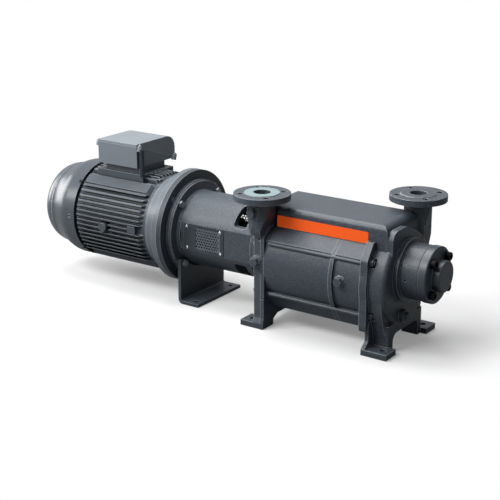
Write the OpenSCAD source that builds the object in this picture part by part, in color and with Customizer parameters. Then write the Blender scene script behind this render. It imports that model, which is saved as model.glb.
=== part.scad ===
// Two-stage liquid ring vacuum pump, close-coupled to a flange-mounted motor.
// Lengths are millimetres. X runs along the shaft towards the end cover, -Y is the inlet side, Z is up.
// The origin is on the floor, midway between the four holes of the pump's own feet.

/* [Shaft line] */
// Height of the shaft axis above the floor
shaft_h = 220; // [215:1:235]
// Gap in a round seat that stays put
seat_gap = 0.1; // [0.05:0.05:0.2]
// Gap between a turning piece and a fixed one
run_gap = 0.5; // [0.3:0.1:0.8]

/* [Feet] */
// Distance between the foot holes along the shaft
foot_pitch_x = 434; // [424:2:450]
// Distance between the foot holes across the shaft
foot_pitch_y = 242; // [236:2:250]
// Hole in each pump foot
foot_hole_d = 18; // [14:1:20]
// Width of one foot across the shaft
foot_w = 57; // [52:1:62]
// Thickness of the foot pads
foot_t = 17; // [14:1:22]
// Distance from the foot holes to the drive end plate
foot_hole_inset = 19; // [17:1:22]
// Length of a drive end foot pad beyond its end plate
drive_foot_l = 43; // [40:1:48]
// Length of the other end's foot pads
end_foot_l = 73; // [66:1:78]
// Height of the arch between two legs
arch_h = 50; // [42:1:52]

/* [Pump block] */
// Thickness of the drive end plate
drive_plate_t = 35; // [30:1:40]
// Length of the first stage casing
stage_1_l = 218; // [200:2:222]
// Thickness of the plate between the stages
mid_plate_t = 12; // [10:1:14]
// Length of the second stage casing
stage_2_l = 83; // [80:1:90]
// Thickness of the flange at the far end of the stages
far_plate_t = 22; // [18:1:26]
// Thickness of the port plates
port_plate_t = 12; // [8:1:14]
// Half width of the end plates
plate_half_w = 142; // [138:1:146]
// Outer radius of the stage casings
stage_r = 146; // [144:1:148]
// Wall of the stage casings
stage_wall = 20; // [16:1:22]
// Distance of the stage bore's axis below the shaft axis
stage_offset = 26; // [22:1:28]
// Height of the deck above the shaft axis
deck_rise = 83; // [81:1:86]
// Half width of the deck
deck_half_w = 97; // [94:1:100]
// Height of the casings' flat underside above the floor
belly_z = 62; // [58:1:68]

/* [Impellers] */
// Gap between the impeller and the casing at its closest
impeller_tip_gap = 1; // [0.5:0.1:2]
// Gap beside an impeller
impeller_side_gap = 0.4; // [0.3:0.1:0.8]
// Number of blades
blades = 12; // [8:1:14]
// Blade thickness
blade_t = 5; // [4:0.5:7]
// Radius of the curve of a blade
blade_curve_r = 62; // [56:1:80]
// Hub radius of the impellers
impeller_hub_r = 46; // [40:1:50]

/* [Top chamber] */
// Height of the chamber above the deck
chamber_h = 59; // [50:1:64]
// Wall of the chamber
chamber_wall = 9; // [7:1:12]
// Radius along the chamber's top edges
chamber_edge_r = 16; // [10:1:20]
// Left end of the chamber from the drive end plate
chamber_start = 11; // [10:1:16]
// Overhang of the chamber past the far plate
chamber_past = 34; // [28:1:38]

/* [Connection flanges] */
// Outer diameter of the connection flanges
flange_d = 165; // [150:1:175]
// Thickness of the connection flanges
flange_t = 18; // [14:1:22]
// Bolt circle of the connection flanges
flange_pcd = 125; // [118:1:130]
// Bolt hole of the connection flanges
flange_hole_d = 18; // [14:1:20]
// Diameter of the raised face
raised_d = 102; // [92:1:104]
// Height of the raised face
raised_t = 2; // [1:0.5:3]
// Bore of both connections
port_d = 50; // [40:1:54]
// Height of the raised faces above the shaft axis
flange_rise = 186; // [182:1:196]
// Sideways distance of each connection
flange_side = 122; // [119:1:126]
// Distance of each connection from the middle
flange_along = 184; // [182:1:186]
// Outer radius of the inlet's neck
inlet_neck_r = 39; // [36:1:39]
// Outer radius of the outlet's neck
outlet_neck_r = 40; // [38:1:44]
// Depth of each vertical port bore
port_depth = 60; // [50:1:64]

/* [End castings] */
// Length of the drive end chamber beyond its plate
drive_chamber_l = 24; // [20:1:30]
// Length of the round spigot that carries the lantern
lantern_spigot_l = 13; // [10:1:16]
// Radius of the far casting's drum
drum_r = 137; // [134:1:139]
// Length of the drum
drum_l = 51; // [48:1:56]
// Radius of the seal chamber in each casting
seal_bore_r = 38; // [34:1:40]
// Radius of the solid hub round the seal chamber
seal_hub_r = 62; // [56:1:66]

/* [Bearing end] */
// Outer radius of the bearing housing
housing_r = 79; // [74:1:84]
// Length of the bearing housing from the drum's face
housing_l = 66; // [62:1:72]
// Thickness of the dark seal ring under the cover
cover_seal_t = 3; // [2:0.5:4]
// Outer radius of the end cover
cover_r = 81; // [76:1:86]
// Thickness of the end cover
cover_t = 23; // [18:1:28]
// Radius of the boss on the end cover
boss_r = 45; // [40:1:46]
// Height of the boss on the end cover
boss_l = 25; // [20:1:30]
// Radius of the circle of cover screws
cover_screw_ring = 63; // [61:1:65]

/* [Lantern] */
// Outer radius of the lantern tube
lantern_r = 115; // [111:1:117]
// Bore radius of the lantern tube
lantern_bore_r = 98; // [95:1:100]
// Distance of the flat side faces from the shaft axis
lantern_flat = 106.5; // [104:0.5:108]
// Length of the lantern from the adapter ring to the pump
lantern_l = 282; // [276:1:296]
// Radius of the lantern's motor side flange
lantern_flange_r = 147; // [144:1:150]
// Thickness of the lantern's motor side flange
lantern_flange_t = 16; // [12:1:18]
// Radius of the adapter ring
adapter_r = 175; // [172:1:180]
// Thickness of the adapter ring
adapter_t = 18; // [16:1:22]
// Radius of the circle of lantern bolts
lantern_bolt_ring = 131; // [130:1:133]

/* [Support bracket] */
// Thickness of the bent bracket plate
bracket_t = 10; // [8:1:12]
// Width of the bracket
bracket_w = 224; // [216:2:232]
// Height of the bracket
bracket_h = 140; // [136:1:150]
// Length of the bracket's foot
bracket_foot_l = 75; // [68:1:80]
// Distance between the bracket's foot holes
bracket_pitch = 180; // [170:2:186]
// Hole in the bracket's foot
bracket_hole_d = 14; // [12:1:16]

/* [Motor] */
// Radius of the motor flange's bolt circle
motor_bolt_ring = 150; // [148:1:156]
// Thickness of the motor flange
motor_flange_t = 17; // [14:1:20]
// Radius of the motor flange's centring spigot
motor_spigot_r = 125; // [123:1:126]
// Length of the drive end shield behind the flange
shield_l = 48; // [44:1:52]
// Length of the finned frame
frame_l = 293; // [285:1:300]
// Radius under the cooling fins
frame_core_r = 134; // [131:1:137]
// Radius over the cooling fins
frame_fin_r = 155; // [151:1:158]
// Distance between the cooling fins
fin_pitch = 15; // [13:0.5:17]
// Thickness of a cooling fin
fin_t = 4.5; // [3:0.5:6]
// Outer radius of the stator
stator_r = 120; // [118:1:122]
// Bore radius of the stator
stator_bore_r = 81; // [78:1:84]
// Length of the stator core
stator_l = 180; // [170:2:190]
// Air gap round the rotor
air_gap = 0.7; // [0.5:0.1:1]
// Radius of the shaft end that carries the coupling
motor_shaft_r = 21; // [19:0.5:21.5]
// Length of the shaft end beyond the motor flange
motor_shaft_l = 110; // [104:1:114]

/* [Fan cowl] */
// Outer radius of the cowl behind its shoulder
cowl_rear_r = 133; // [128:1:138]
// Length of the cowl
cowl_l = 163; // [155:1:170]
// Radius of the cowl's rear edge
cowl_edge_r = 60; // [40:1:64]
// Sheet thickness of the cowl
cowl_t = 2.5; // [2:0.5:3.5]
// Outer radius of the fan
fan_r = 118; // [105:1:122]

/* [Terminal box] */
// Length of the terminal box along the shaft
box_l = 156; // [140:1:166]
// Front of the terminal box from the shaft
box_front = 85; // [78:1:90]
// Back of the terminal box from the shaft
box_back = 103; // [96:1:108]
// Height of the box's underside above the shaft axis
box_rise = 176; // [174:1:182]
// Height of the closed box
box_h = 75; // [68:1:84]
// Wall of the terminal box
box_wall = 5; // [4:0.5:7]

/* [Hidden] */
$fn = 72;

// Overrun of a cutting shape past the face it leaves
cut = 2;
// Clearance round a bolt or screw
bolt_gap = 0.4;
// Corner steps of a rounded outline
corner_steps = 6;

// Stations along the shaft
drive_plate_x = -foot_pitch_x / 2 + foot_hole_inset;
stage_1_x = drive_plate_x + drive_plate_t;
mid_plate_x = stage_1_x + stage_1_l;
stage_2_x = mid_plate_x + mid_plate_t;
far_plate_x = stage_2_x + stage_2_l;
drum_x = far_plate_x + far_plate_t;
face_x = drum_x + drum_l;
housing_x = face_x + housing_l;
cover_x = housing_x + cover_seal_t;
cover_face_x = cover_x + cover_t;
boss_face_x = cover_face_x + boss_l;
drive_chamber_x = drive_plate_x - drive_chamber_l;
lantern_end_x = drive_chamber_x - lantern_spigot_l;
adapter_x = lantern_end_x - lantern_l;
bracket_x = adapter_x + lantern_flange_t;
motor_x = adapter_x - adapter_t;
flange_back_x = motor_x - motor_flange_t;
frame_x = flange_back_x - shield_l;
frame_end_x = frame_x - frame_l;

// Heights
stage_z = shaft_h - stage_offset;
deck_z = shaft_h + deck_rise;
flange_z = shaft_h + flange_rise;
flange_low_z = flange_z - raised_t - flange_t;
stage_bore_r = stage_r - stage_wall;
impeller_r = stage_bore_r - stage_offset - impeller_tip_gap;

// Feet
foot_y = foot_pitch_y / 2;
foot_out_y = foot_y + foot_w / 2;
foot_in_y = foot_y - foot_w / 2;

// Tie rods
rod_r = 6;
rod_upper_y = 121;
rod_rise = 42;
rod_drop = 112;
rod_upper_z = shaft_h + rod_rise;
rod_lower_y = 119;
rod_lower_z = shaft_h - rod_drop;
rod_nut_r = 11.5;
rod_nut_h = 10;
rod_end_l = 4;
rod_places = [
  [-rod_upper_y, rod_upper_z], [rod_upper_y, rod_upper_z],
  [-rod_lower_y, rod_lower_z], [rod_lower_y, rod_lower_z]
];

// Shaft and bearings of the pump
pump_shaft_r = 25;
seal_shaft_r = 22;
bearing_bore_r = 20;
bearing_out_r = 45;
bearing_w = 23;
coupling_shaft_r = 19;
drive_bearing_out = 64;
far_bearing_in = 33;
shaft_tail_l = 24;
drive_bearing_x = lantern_end_x - drive_bearing_out;
far_bearing_x = housing_x - far_bearing_in;
shaft_end_gap = 22;
motor_shaft_end_x = motor_x + motor_shaft_l;
pump_shaft_start_x = motor_shaft_end_x + shaft_end_gap;
pump_shaft_end_x = far_bearing_x + bearing_w + shaft_tail_l;

// Bearings of the motor
motor_journal_r = 22.5;
motor_bearing_r = 50;
motor_bearing_w = 25;
rear_bearing_r = 42.5;
rear_bearing_w = 19;
motor_bearing_in = 11;
rear_bearing_lip = 3;
motor_bearing_x = flange_back_x - motor_bearing_in - motor_bearing_w;
rear_shield_t = 12;
rear_bearing_x = frame_end_x - rear_shield_t + rear_bearing_lip;
stator_x = frame_end_x + (frame_l - stator_l) / 2;

// Coupling
hub_r = 52;
hub_l = 50;
jaw_end_gap = 4;
jaw_l = shaft_end_gap - jaw_end_gap;
jaw_in_r = 24;
jaw_half_angle = 20;
jaw_turn = 30;
jaw_step = 1.5;
jaw_gap = 0.3;
jaws = 3;

// Outline helpers
function unit(v) = v / norm(v);
function flat2(p) = [p[0], p[1]];
function corner_arc(a, b, c, r) =
  let (u = unit(a - b), v = unit(c - b))
  let (half = acos(max(-1, min(1, u * v))) / 2)
  let (m = b + unit(u + v) * r / sin(half))
  let (s = b + u * r / tan(half) - m, e = b + v * r / tan(half) - m)
  let (a0 = atan2(s[1], s[0]), turn = atan2(e[1], e[0]) - a0)
  let (sweep = turn > 180 ? turn - 360 : turn < -180 ? turn + 360 : turn)
  [for (i = [0:corner_steps]) m + r * [cos(a0 + sweep * i / corner_steps),
                    sin(a0 + sweep * i / corner_steps)]];
// Points are [a, b] for a sharp corner and [a, b, radius] for a round one
function rounded(p) = [for (i = [0:len(p) - 1])
  let (n = len(p), q = p[i])
  each len(q) < 3 ? [q] : corner_arc(flat2(p[(i + n - 1) % n]), flat2(q), flat2(p[(i + 1) % n]), q[2])];
function box_points(y0, z0, y1, z1, r) = [[y0, z0, r], [y1, z0, r], [y1, z1, r], [y0, z1, r]];

// An outline in Y and Z, drawn out between two stations
module x_prism(x0, x1) {
  translate([x0, 0, 0]) rotate([90, 0, 90]) linear_extrude(x1 - x0) children();
}
// An outline in X and Z, drawn out between two Y places
module y_prism(y0, y1) {
  translate([0, y1, 0]) rotate([90, 0, 0]) linear_extrude(y1 - y0) children();
}
module disc(r, z = shaft_h) {
  translate([0, z]) circle(r);
}
module x_rod(x0, x1, r, y = 0, z = shaft_h) {
  translate([x0, y, z]) rotate([0, 90, 0]) cylinder(h = x1 - x0, r = r);
}
module x_ring(x0, x1, ro, ri, y = 0, z = shaft_h) {
  difference() {
    x_rod(x0, x1, ro, y, z);
    x_rod(x0 - cut, x1 + cut, ri, y, z);
  }
}
// A turned piece on the shaft axis; points are [radius, station]
module x_turned(points) {
  translate([0, 0, shaft_h]) rotate([0, 90, 0]) rotate_extrude() polygon(points);
}
module ring_places(r, count, first) {
  for (i = [0:count - 1])
    translate([0, r * cos(first + i * 360 / count), shaft_h + r * sin(first + i * 360 / count)]) children();
}
// A hexagon head bolt whose head stands on station x and points along +X or -X
module hex_bolt(x, shank_l, r, head_r, head_h, way = 1) {
  translate([x, 0, 0]) rotate([0, 90 * way, 0]) {
    cylinder(h = head_h, r = head_r, $fn = 6);
    translate([0, 0, -shank_l]) cylinder(h = shank_l, r = r);
  }
}
// A socket head cap screw
module cap_screw(x, shank_l, r, head_r, head_h, way = 1) {
  socket_r = head_r * cap_socket_share;
  translate([x, 0, 0]) rotate([0, 90 * way, 0]) difference() {
    union() {
      cylinder(h = head_h, r = head_r);
      translate([0, 0, -shank_l]) cylinder(h = shank_l, r = r);
    }
    translate([0, 0, head_h * cap_floor_share]) cylinder(h = head_h, r = socket_r, $fn = 6);
  }
}
cap_socket_share = 0.58;
cap_floor_share = 0.4;

// Connection flange with its raised face
module port_flange() {
  translate([0, 0, flange_low_z]) cylinder(h = flange_t, r = flange_d / 2);
  translate([0, 0, flange_z - raised_t - cut]) cylinder(h = raised_t + cut, r = raised_d / 2);
}
module port_cuts() {
  translate([0, 0, flange_z - port_depth]) cylinder(h = port_depth + cut, r = port_d / 2);
  for (a = [45:90:315]) rotate(a) translate([flange_pcd / 2, 0, flange_low_z - cut])
    cylinder(h = flange_t + raised_t + 2 * cut, r = flange_hole_d / 2);
}
way_r = 12;
way_shift = 2;
way_rise = 44;
way_nearer = 10;
way_in = 70;
// Passage from a port bore into the chamber round the hub
module port_way(side) {
  translate([way_shift, side * (flange_side - way_nearer), shaft_h + way_rise]) {
    cylinder(h = flange_rise - port_depth - way_rise + cut, r = way_r);
    rotate([side * 90, 0, 0]) cylinder(h = way_in, r = way_r);
    sphere(r = way_r);
  }
}

// Four holes for the tie rods
module rod_holes(x0, x1) {
  for (p = rod_places) x_rod(x0 - cut, x1 + cut, rod_r + bolt_gap, p[0], p[1]);
}

// Drive end casting
leg_half_w = plate_half_w;
plate_top_r = 14;
arch_r = 22;
drive_chamber_r = 128;
lantern_spigot_r = 112;
plug_pad_r = 17;
plug_pad_l = 3;
plug_pad_y = 150;
plug_shift = 5;
chamber_round_r = 18;
rim_in = 23;
rim_out = 2;
drive_arch_h = 30;
edge_hole_r = 3.5;
edge_hole_depth = 10;
edge_hole_in = 19;
edge_hole_rise = 50;
edge_hole_low_in = 29;
edge_hole_drop = 126;
edge_holes = [[edge_hole_in, edge_hole_rise], [edge_hole_low_in, -edge_hole_drop]];
annulus_r = 100;
chamber_skin = 12;
plug_boss = 36;
plug_boss_drop = 33;
plug_boss_z = flange_low_z - plug_boss_drop;
side_plug_drop = 16;
side_plug_z = shaft_h - side_plug_drop;
neck_foot_rise = 44;
neck_foot_z = shaft_h + neck_foot_rise;
foot_corner_r = 6;

function leg_outline(half_w, top_z, out_y, arch_z) = [
  [-out_y, 0], [-out_y, foot_t], [-half_w, foot_t * 2, foot_t],
  [-half_w, top_z - (half_w - deck_half_w) / 2, plate_top_r], [-deck_half_w - plate_top_r, top_z, plate_top_r],
  [deck_half_w + plate_top_r, top_z, plate_top_r], [half_w, top_z - (half_w - deck_half_w) / 2, plate_top_r],
  [half_w, foot_t * 2, foot_t], [out_y, foot_t], [out_y, 0],
  [foot_in_y, 0], [foot_in_y, foot_t], [foot_in_y - arch_r, arch_z, arch_z / 2],
  [-foot_in_y + arch_r, arch_z, arch_z / 2], [-foot_in_y, foot_t], [-foot_in_y, 0]];

module seal_and_shaft_bore(x0, x1, seal_x0, seal_x1) {
  x_rod(x0, x1, pump_shaft_r + run_gap);
  x_rod(seal_x0, seal_x1, seal_bore_r);
}
// Ring-shaped chamber round the seal hub
module annulus() {
  difference() {
    intersection() {
      disc(annulus_r);
      translate([-annulus_r, 0]) square([2 * annulus_r, deck_z - chamber_skin]);
    }
    disc(seal_hub_r);
  }
}
inlet_side_share = [[-1, 1.02], [-1, 0.43], [-0.62, 0.27], [0.1, 0], [0.34, 0.06], [0.44, 0.3], [0.66, 0.5], [0.86, 0.7], [1, 0.93], [1, 1.02]];
inlet_front_share = [[-1, 1.02], [-1, 0.42], [-0.9, 0.24], [-0.46, 0], [1.2, 0], [1.2, 1.02]];
outlet_side_share = [[-1, 1.02], [-1, 0.4], [-0.7, 0.24], [-0.7, 0], [0.8, 0], [0.8, 0.2], [0.9, 0.5], [1, 0.8], [1, 1.02]];
outlet_front_share = [[-1.2, 1.02], [-1.2, 0], [0.3, 0], [0.66, 0.2], [0.9, 0.5], [1, 0.8], [1, 1.02]];
// Branch under a connection flange
module neck(r, side_share, front_share) {
  neck_h = flange_low_z - neck_foot_z;
  intersection() {
    translate([0, 0, neck_foot_z]) cylinder(h = neck_h + cut / 2, r = r);
    translate([0, 0, neck_foot_z]) y_prism(-2 * r, 2 * r) polygon([for (p = side_share) [p[0] * r, p[1] * neck_h]]);
    translate([0, 0, neck_foot_z]) x_prism(-2 * r, 2 * r) polygon([for (p = front_share) [p[0] * r, p[1] * neck_h]]);
  }
}
module drive_end_casing() {
  drive_foot_x = drive_plate_x - drive_foot_l;
  color("#4a5158") difference() {
    union() {
      x_prism(drive_plate_x, stage_1_x) {
        polygon(rounded(leg_outline(leg_half_w, deck_z, foot_out_y, drive_arch_h)));
        disc(stage_r, stage_z);
      }
      for (s = [-1, 1]) x_prism(drive_foot_x, drive_plate_x)
        translate([s * foot_y - foot_w / 2, 0]) square([foot_w, foot_t]);
      x_turned(rounded([[0, drive_chamber_x], [drive_chamber_r, drive_chamber_x, chamber_round_r],
        [drive_chamber_r, drive_plate_x + cut], [0, drive_plate_x + cut]]));
      x_rod(lantern_end_x, drive_chamber_x, lantern_spigot_r);
      translate([-flange_along, -flange_side, 0]) {
        port_flange();
        neck(inlet_neck_r, inlet_side_share, inlet_front_share);
        translate([-plug_boss / 2 - plug_shift, -inlet_neck_r - plug_pad_l, plug_boss_z - plug_boss / 2])
          cube([plug_boss, inlet_neck_r, plug_boss]);
      }
      y_prism(-plug_pad_y, 0) translate([-flange_along - plug_shift, side_plug_z]) circle(plug_pad_r);
      x_prism(drive_plate_x + rim_in, stage_1_x)
        polygon(rounded(leg_outline(leg_half_w + rim_out, deck_z, foot_out_y, drive_arch_h)));
    }
    x_prism(drive_chamber_x + chamber_skin, stage_1_x + cut) annulus();
    translate([-flange_along, -flange_side, 0]) port_cuts();
    translate([-flange_along, 0, 0]) port_way(-1);
    seal_and_shaft_bore(lantern_end_x - cut, stage_1_x + cut, lantern_end_x - cut, drive_plate_x);
    rod_holes(drive_chamber_x, stage_1_x);
    for (p = rod_places) x_rod(drive_foot_x, drive_plate_x, rod_nut_r + cut, p[0], p[1]);
    for (s = [-1, 1]) translate([-foot_pitch_x / 2, s * foot_y, -cut])
      cylinder(h = foot_t + 2 * cut, r = foot_hole_d / 2);
    front_plug_hole(-flange_along - plug_shift, -flange_side - inlet_neck_r - plug_pad_l, plug_boss_z);
    front_plug_hole(-flange_along - plug_shift, -plug_pad_y, side_plug_z);
    for (p = edge_holes) translate([drive_plate_x + p[0], -leg_half_w - rim_out - cut, shaft_h + p[1]])
      rotate([-90, 0, 0]) cylinder(h = edge_hole_depth + cut, r = edge_hole_r);
    ring_places(lantern_screw_ring, lantern_screws_n, lantern_screw_first)
      x_rod(lantern_end_x - cut, lantern_end_x + lantern_screw_l, lantern_screw_r + bolt_gap, 0, 0);
    ring_places(housing_screw_ring, 4, 0)
      x_rod(lantern_end_x - cut, lantern_end_x + housing_screw_l, housing_screw_r + bolt_gap, 0, 0);
  }
}

// Far end casting with the bearing housing
drum_edge_r = 12;
leg_web_l = 9;
leg_web_share = 0.9;
leg_in_y = 75;
leg_round_y = 103;
leg_share = [[0.999, 1], [0.96, 0.81], [0.9, 0.59], [0.79, 0.37], [0.73, 0.2], [0.73, 0]];
grease_hole_in = 31;
grease_hole_drop = 5;
base_ring_r = 92;
base_ring_t = 13;
end_foot_shift = 11;
end_foot_x = foot_pitch_x / 2 - end_foot_l / 2 - end_foot_shift;
elbow_back = 8;
elbow_in = 4;
elbow_x0 = drum_x - elbow_back;
elbow_x1 = face_x - elbow_in;
elbow_side = 20;
elbow_rise = 16;
elbow_foot_rise = 60;
elbow_round = 30;
head_x0 = drum_x + chamber_past;
head_half_w = 96;
head_low = 20;
head_rise = 128;
head_r = 30;
head_slope_y = 34;
head_slope_z = 103;
tab_y = 110;
tab_rise = 12;
far_plug_y = -28;
far_plug_drop = 127;
far_plug_z = shaft_h - far_plug_drop;
far_plug_boss_l = 12;
far_plug_boss_r = 19;
face_hole_r = 4;
face_hole_ring = 101;
face_hole_depth = 14;
nut_pocket_l = 15;
bearing_seat_in = 2;
far_bearing_seat_x = far_bearing_x - bearing_seat_in;

module leg_block() {
  for (s = [-1, 1]) polygon(rounded(concat(
    [for (p = leg_share) [s * p[0] * drum_r, p[1] * stage_z]],
    [[s * leg_in_y, 0], [s * leg_in_y, arch_h, arch_r], [0, arch_h], [0, stage_z]])));
}
module far_plate_outline() {
  side_y = deck_half_w + seat_gap;
  polygon(rounded([
    [-plate_half_w, belly_z, plate_top_r], [-plate_half_w, rod_upper_z + rod_r, plate_top_r],
    [-tab_y, deck_z + tab_rise, tab_rise / 2], [-side_y, deck_z + tab_rise], [-side_y, deck_z],
    [side_y, deck_z], [side_y, deck_z + tab_rise], [tab_y, deck_z + tab_rise, tab_rise / 2],
    [plate_half_w, rod_upper_z + rod_r, plate_top_r], [plate_half_w, belly_z, plate_top_r]]));
}
module far_end_casing() {
  color("#4a5158") difference() {
    union() {
      x_prism(far_plate_x, drum_x) {
        far_plate_outline();
        disc(stage_r, stage_z);
      }
      translate([0, 0, stage_z - shaft_h]) x_turned(rounded([[0, drum_x - cut], [drum_r, drum_x - cut],
        [drum_r, face_x, drum_edge_r], [0, face_x]]));
      x_prism(drum_x, face_x - drum_edge_r) leg_block();
      intersection() {
        x_prism(drum_x, face_x) leg_block();
        linear_extrude(belly_z + foot_t) polygon(rounded([
          [drum_x - cut, -leg_round_y], [face_x, -leg_round_y, drum_edge_r],
          [face_x, leg_round_y, drum_edge_r], [drum_x - cut, leg_round_y]]));
      }
      x_prism(drum_x - leg_web_l, drum_x + cut) polygon(rounded(leg_outline(plate_half_w * leg_web_share,
        belly_z + foot_t * 2, foot_out_y, arch_h)));
      for (s = [-1, 1]) x_prism(end_foot_x, end_foot_x + end_foot_l)
        translate([s * foot_y - foot_w / 2, 0]) square([foot_w, foot_t]);
      x_rod(face_x, face_x + base_ring_t, base_ring_r);
      x_rod(face_x, housing_x, housing_r);
      x_rod(face_x, face_x + far_plug_boss_l, far_plug_boss_r, far_plug_y, far_plug_z);
      translate([flange_along, flange_side, 0]) {
        port_flange();
        neck(outlet_neck_r, outlet_side_share, outlet_front_share);
      }
      x_prism(elbow_x0, elbow_x1) polygon(rounded([
        [0, shaft_h], [flange_side, shaft_h + elbow_rise, elbow_round],
        [flange_side + elbow_side, deck_z - elbow_rise, elbow_round],
        [flange_side + elbow_side, deck_z + elbow_rise, elbow_rise / 2],
        [deck_half_w + cut, deck_z + elbow_rise], [deck_half_w + cut, shaft_h + elbow_foot_rise]]));
      x_prism(head_x0, face_x) polygon(rounded([
        [-head_half_w, deck_z - head_low], [-head_half_w, shaft_h + head_rise, head_r],
        [-elbow_rise, shaft_h + head_rise, head_r], [head_slope_y, shaft_h + head_slope_z],
        [deck_half_w, deck_z - head_low]]));
    }
    x_prism(far_plate_x - cut, face_x - chamber_skin) annulus();
    translate([flange_along, flange_side, 0]) port_cuts();
    translate([flange_along, 0, 0]) port_way(1);
    seal_and_shaft_bore(far_plate_x - cut, housing_x + cut, far_plate_x + chamber_skin, face_x);
    x_rod(far_bearing_seat_x, housing_x + cut, bearing_out_r + seat_gap);
    rod_holes(far_plate_x, drum_x);
    for (p = rod_places) x_rod(drum_x, drum_x + nut_pocket_l, rod_nut_r + cut, p[0], p[1]);
    for (s = [-1, 1]) translate([foot_pitch_x / 2, s * foot_y, -cut])
      cylinder(h = foot_t + 2 * cut, r = foot_hole_d / 2);
    plug_hole(face_x + far_plug_boss_l, far_plug_y, far_plug_z, -1);
    translate([face_x + grease_hole_in, -housing_r - cut, shaft_h - grease_hole_drop]) rotate([-90, 0, 0])
      cylinder(h = face_hole_depth + cut, r = face_hole_r);
    ring_places(face_hole_ring, 4, 45)
      x_rod(face_x - face_hole_depth, face_x + cut, face_hole_r, 0, 0);
    ring_places(cover_screw_ring, 4, 45)
      x_rod(housing_x - cover_screw_l, housing_x + cut, cover_screw_r + bolt_gap, 0, 0);
  }
}

// Stage casings
rail_out = 134;
rail_low_out = 129;
rail_top = 50;
rail_depth = 8;
rail_low = 116;
skirt_half_w = 98;
module stage_outline() {
  disc(stage_r, stage_z);
  polygon([[-rail_out, shaft_h + rail_top - rail_depth], [-rail_out, shaft_h + rail_top], [-deck_half_w, deck_z],
    [deck_half_w, deck_z], [rail_out, shaft_h + rail_top], [rail_out, shaft_h + rail_top - rail_depth]]);
  polygon([[-rail_low_out, shaft_h - rail_low + rail_depth], [-rail_low_out, shaft_h - rail_low],
    [-skirt_half_w, belly_z], [skirt_half_w, belly_z],
    [rail_low_out, shaft_h - rail_low], [rail_low_out, shaft_h - rail_low + rail_depth]]);
}
drain_boss_l = 44;
drain_boss_w = 90;
drain_boss_z = 40;
module stage_casing_1() {
  color("#4a5158") difference() {
    union() {
      x_prism(stage_1_x, mid_plate_x) stage_outline();
      translate([stage_1_x, -drain_boss_w / 2, drain_boss_z])
        cube([drain_boss_l, drain_boss_w, belly_z - drain_boss_z + cut]);
    }
    x_rod(stage_1_x - cut, mid_plate_x + cut, stage_bore_r, 0, stage_z);
    rod_holes(stage_1_x, mid_plate_x);
  }
}
mid_plug_in = 22;
mid_plug_drop = 20;
mid_plug_boss_l = 4;
mid_plug_x = stage_2_x + mid_plug_in;
mid_plug_z = shaft_h - mid_plug_drop;
mid_plug_boss_y = -stage_r - mid_plug_boss_l;
module stage_casing_2() {
  color("#4a5158") difference() {
    union() {
      x_prism(stage_2_x, far_plate_x) stage_outline();
      translate([mid_plug_x, mid_plug_boss_y, mid_plug_z]) rotate([-90, 0, 0])
        cylinder(h = stage_wall / 2, r = plug_r + cut);
    }
    x_rod(stage_2_x - cut, far_plate_x + cut, stage_bore_r, 0, stage_z);
    rod_holes(stage_2_x, far_plate_x);
    translate([mid_plug_x, mid_plug_boss_y - cut, mid_plug_z]) rotate([-90, 0, 0])
      cylinder(h = plug_shank_l + cut, r = plug_shank_r + bolt_gap);
  }
}

// Plates with suction and discharge windows
suction_r = 72;
suction_w = 26;
discharge_r = 62;
discharge_w = 14;
suction_arc = [100, 170];
discharge_arc = [15, 50];
// A curved slot round the shaft axis, drawn in Y and Z
module arc_slot(r, w, arc) {
  reach = 2 * (r + w);
  step = (arc[1] - arc[0]) / 4;
  translate([0, shaft_h]) intersection() {
    difference() {
      circle(r + w / 2);
      circle(r - w / 2);
    }
    polygon([[0, 0], for (i = [0:4]) reach * [cos(arc[0] + step * i), sin(arc[0] + step * i)]]);
  }
}
module plate_with_ports(x0, x1) {
  difference() {
    x_prism(x0, x1) difference() {
      children();
      disc(pump_shaft_r + run_gap);
      arc_slot(suction_r, suction_w, suction_arc);
      arc_slot(discharge_r, discharge_w, discharge_arc);
    }
    rod_holes(x0, x1);
  }
}
mid_rim = 7;
module mid_plate() {
  color("#434a51") plate_with_ports(mid_plate_x, stage_2_x) union() {
    stage_outline();
    intersection() {
      disc(stage_r + mid_rim, stage_z);
      translate([-stage_r - mid_rim, belly_z]) square([2 * (stage_r + mid_rim), shaft_h + rail_top - belly_z]);
    }
  }
}
module port_disc(x0) {
  color("#8d9499") plate_with_ports(x0, x0 + port_plate_t)
    disc(stage_bore_r - seat_gap, stage_z);
}
module port_plate_1() {
  port_disc(stage_1_x);
}
module port_plate_2() {
  port_disc(far_plate_x - port_plate_t);
}

// Impellers with forward-curved blades
module blade() {
  intersection() {
    translate([impeller_hub_r - cut, blade_curve_r - blade_t / 2]) difference() {
      circle(blade_curve_r);
      circle(blade_curve_r - blade_t);
    }
    translate([0, -blade_t]) square([impeller_r, blade_curve_r]);
    circle(impeller_r);
  }
}
module impeller(x0, x1) {
  color("#b08d57") difference() {
    x_prism(x0, x1) translate([0, shaft_h]) {
      circle(impeller_hub_r);
      for (i = [0:blades - 1]) rotate(i * 360 / blades) blade();
    }
    x_rod(x0 - cut, x1 + cut, pump_shaft_r + seat_gap);
  }
}
impeller_1_x0 = stage_1_x + port_plate_t + impeller_side_gap;
impeller_1_x1 = mid_plate_x - impeller_side_gap;
impeller_2_x0 = stage_2_x + impeller_side_gap;
impeller_2_x1 = far_plate_x - port_plate_t - impeller_side_gap;
module impeller_1() {
  impeller(impeller_1_x0, impeller_1_x1);
}
module impeller_2() {
  impeller(impeller_2_x0, impeller_2_x1);
}

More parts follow.
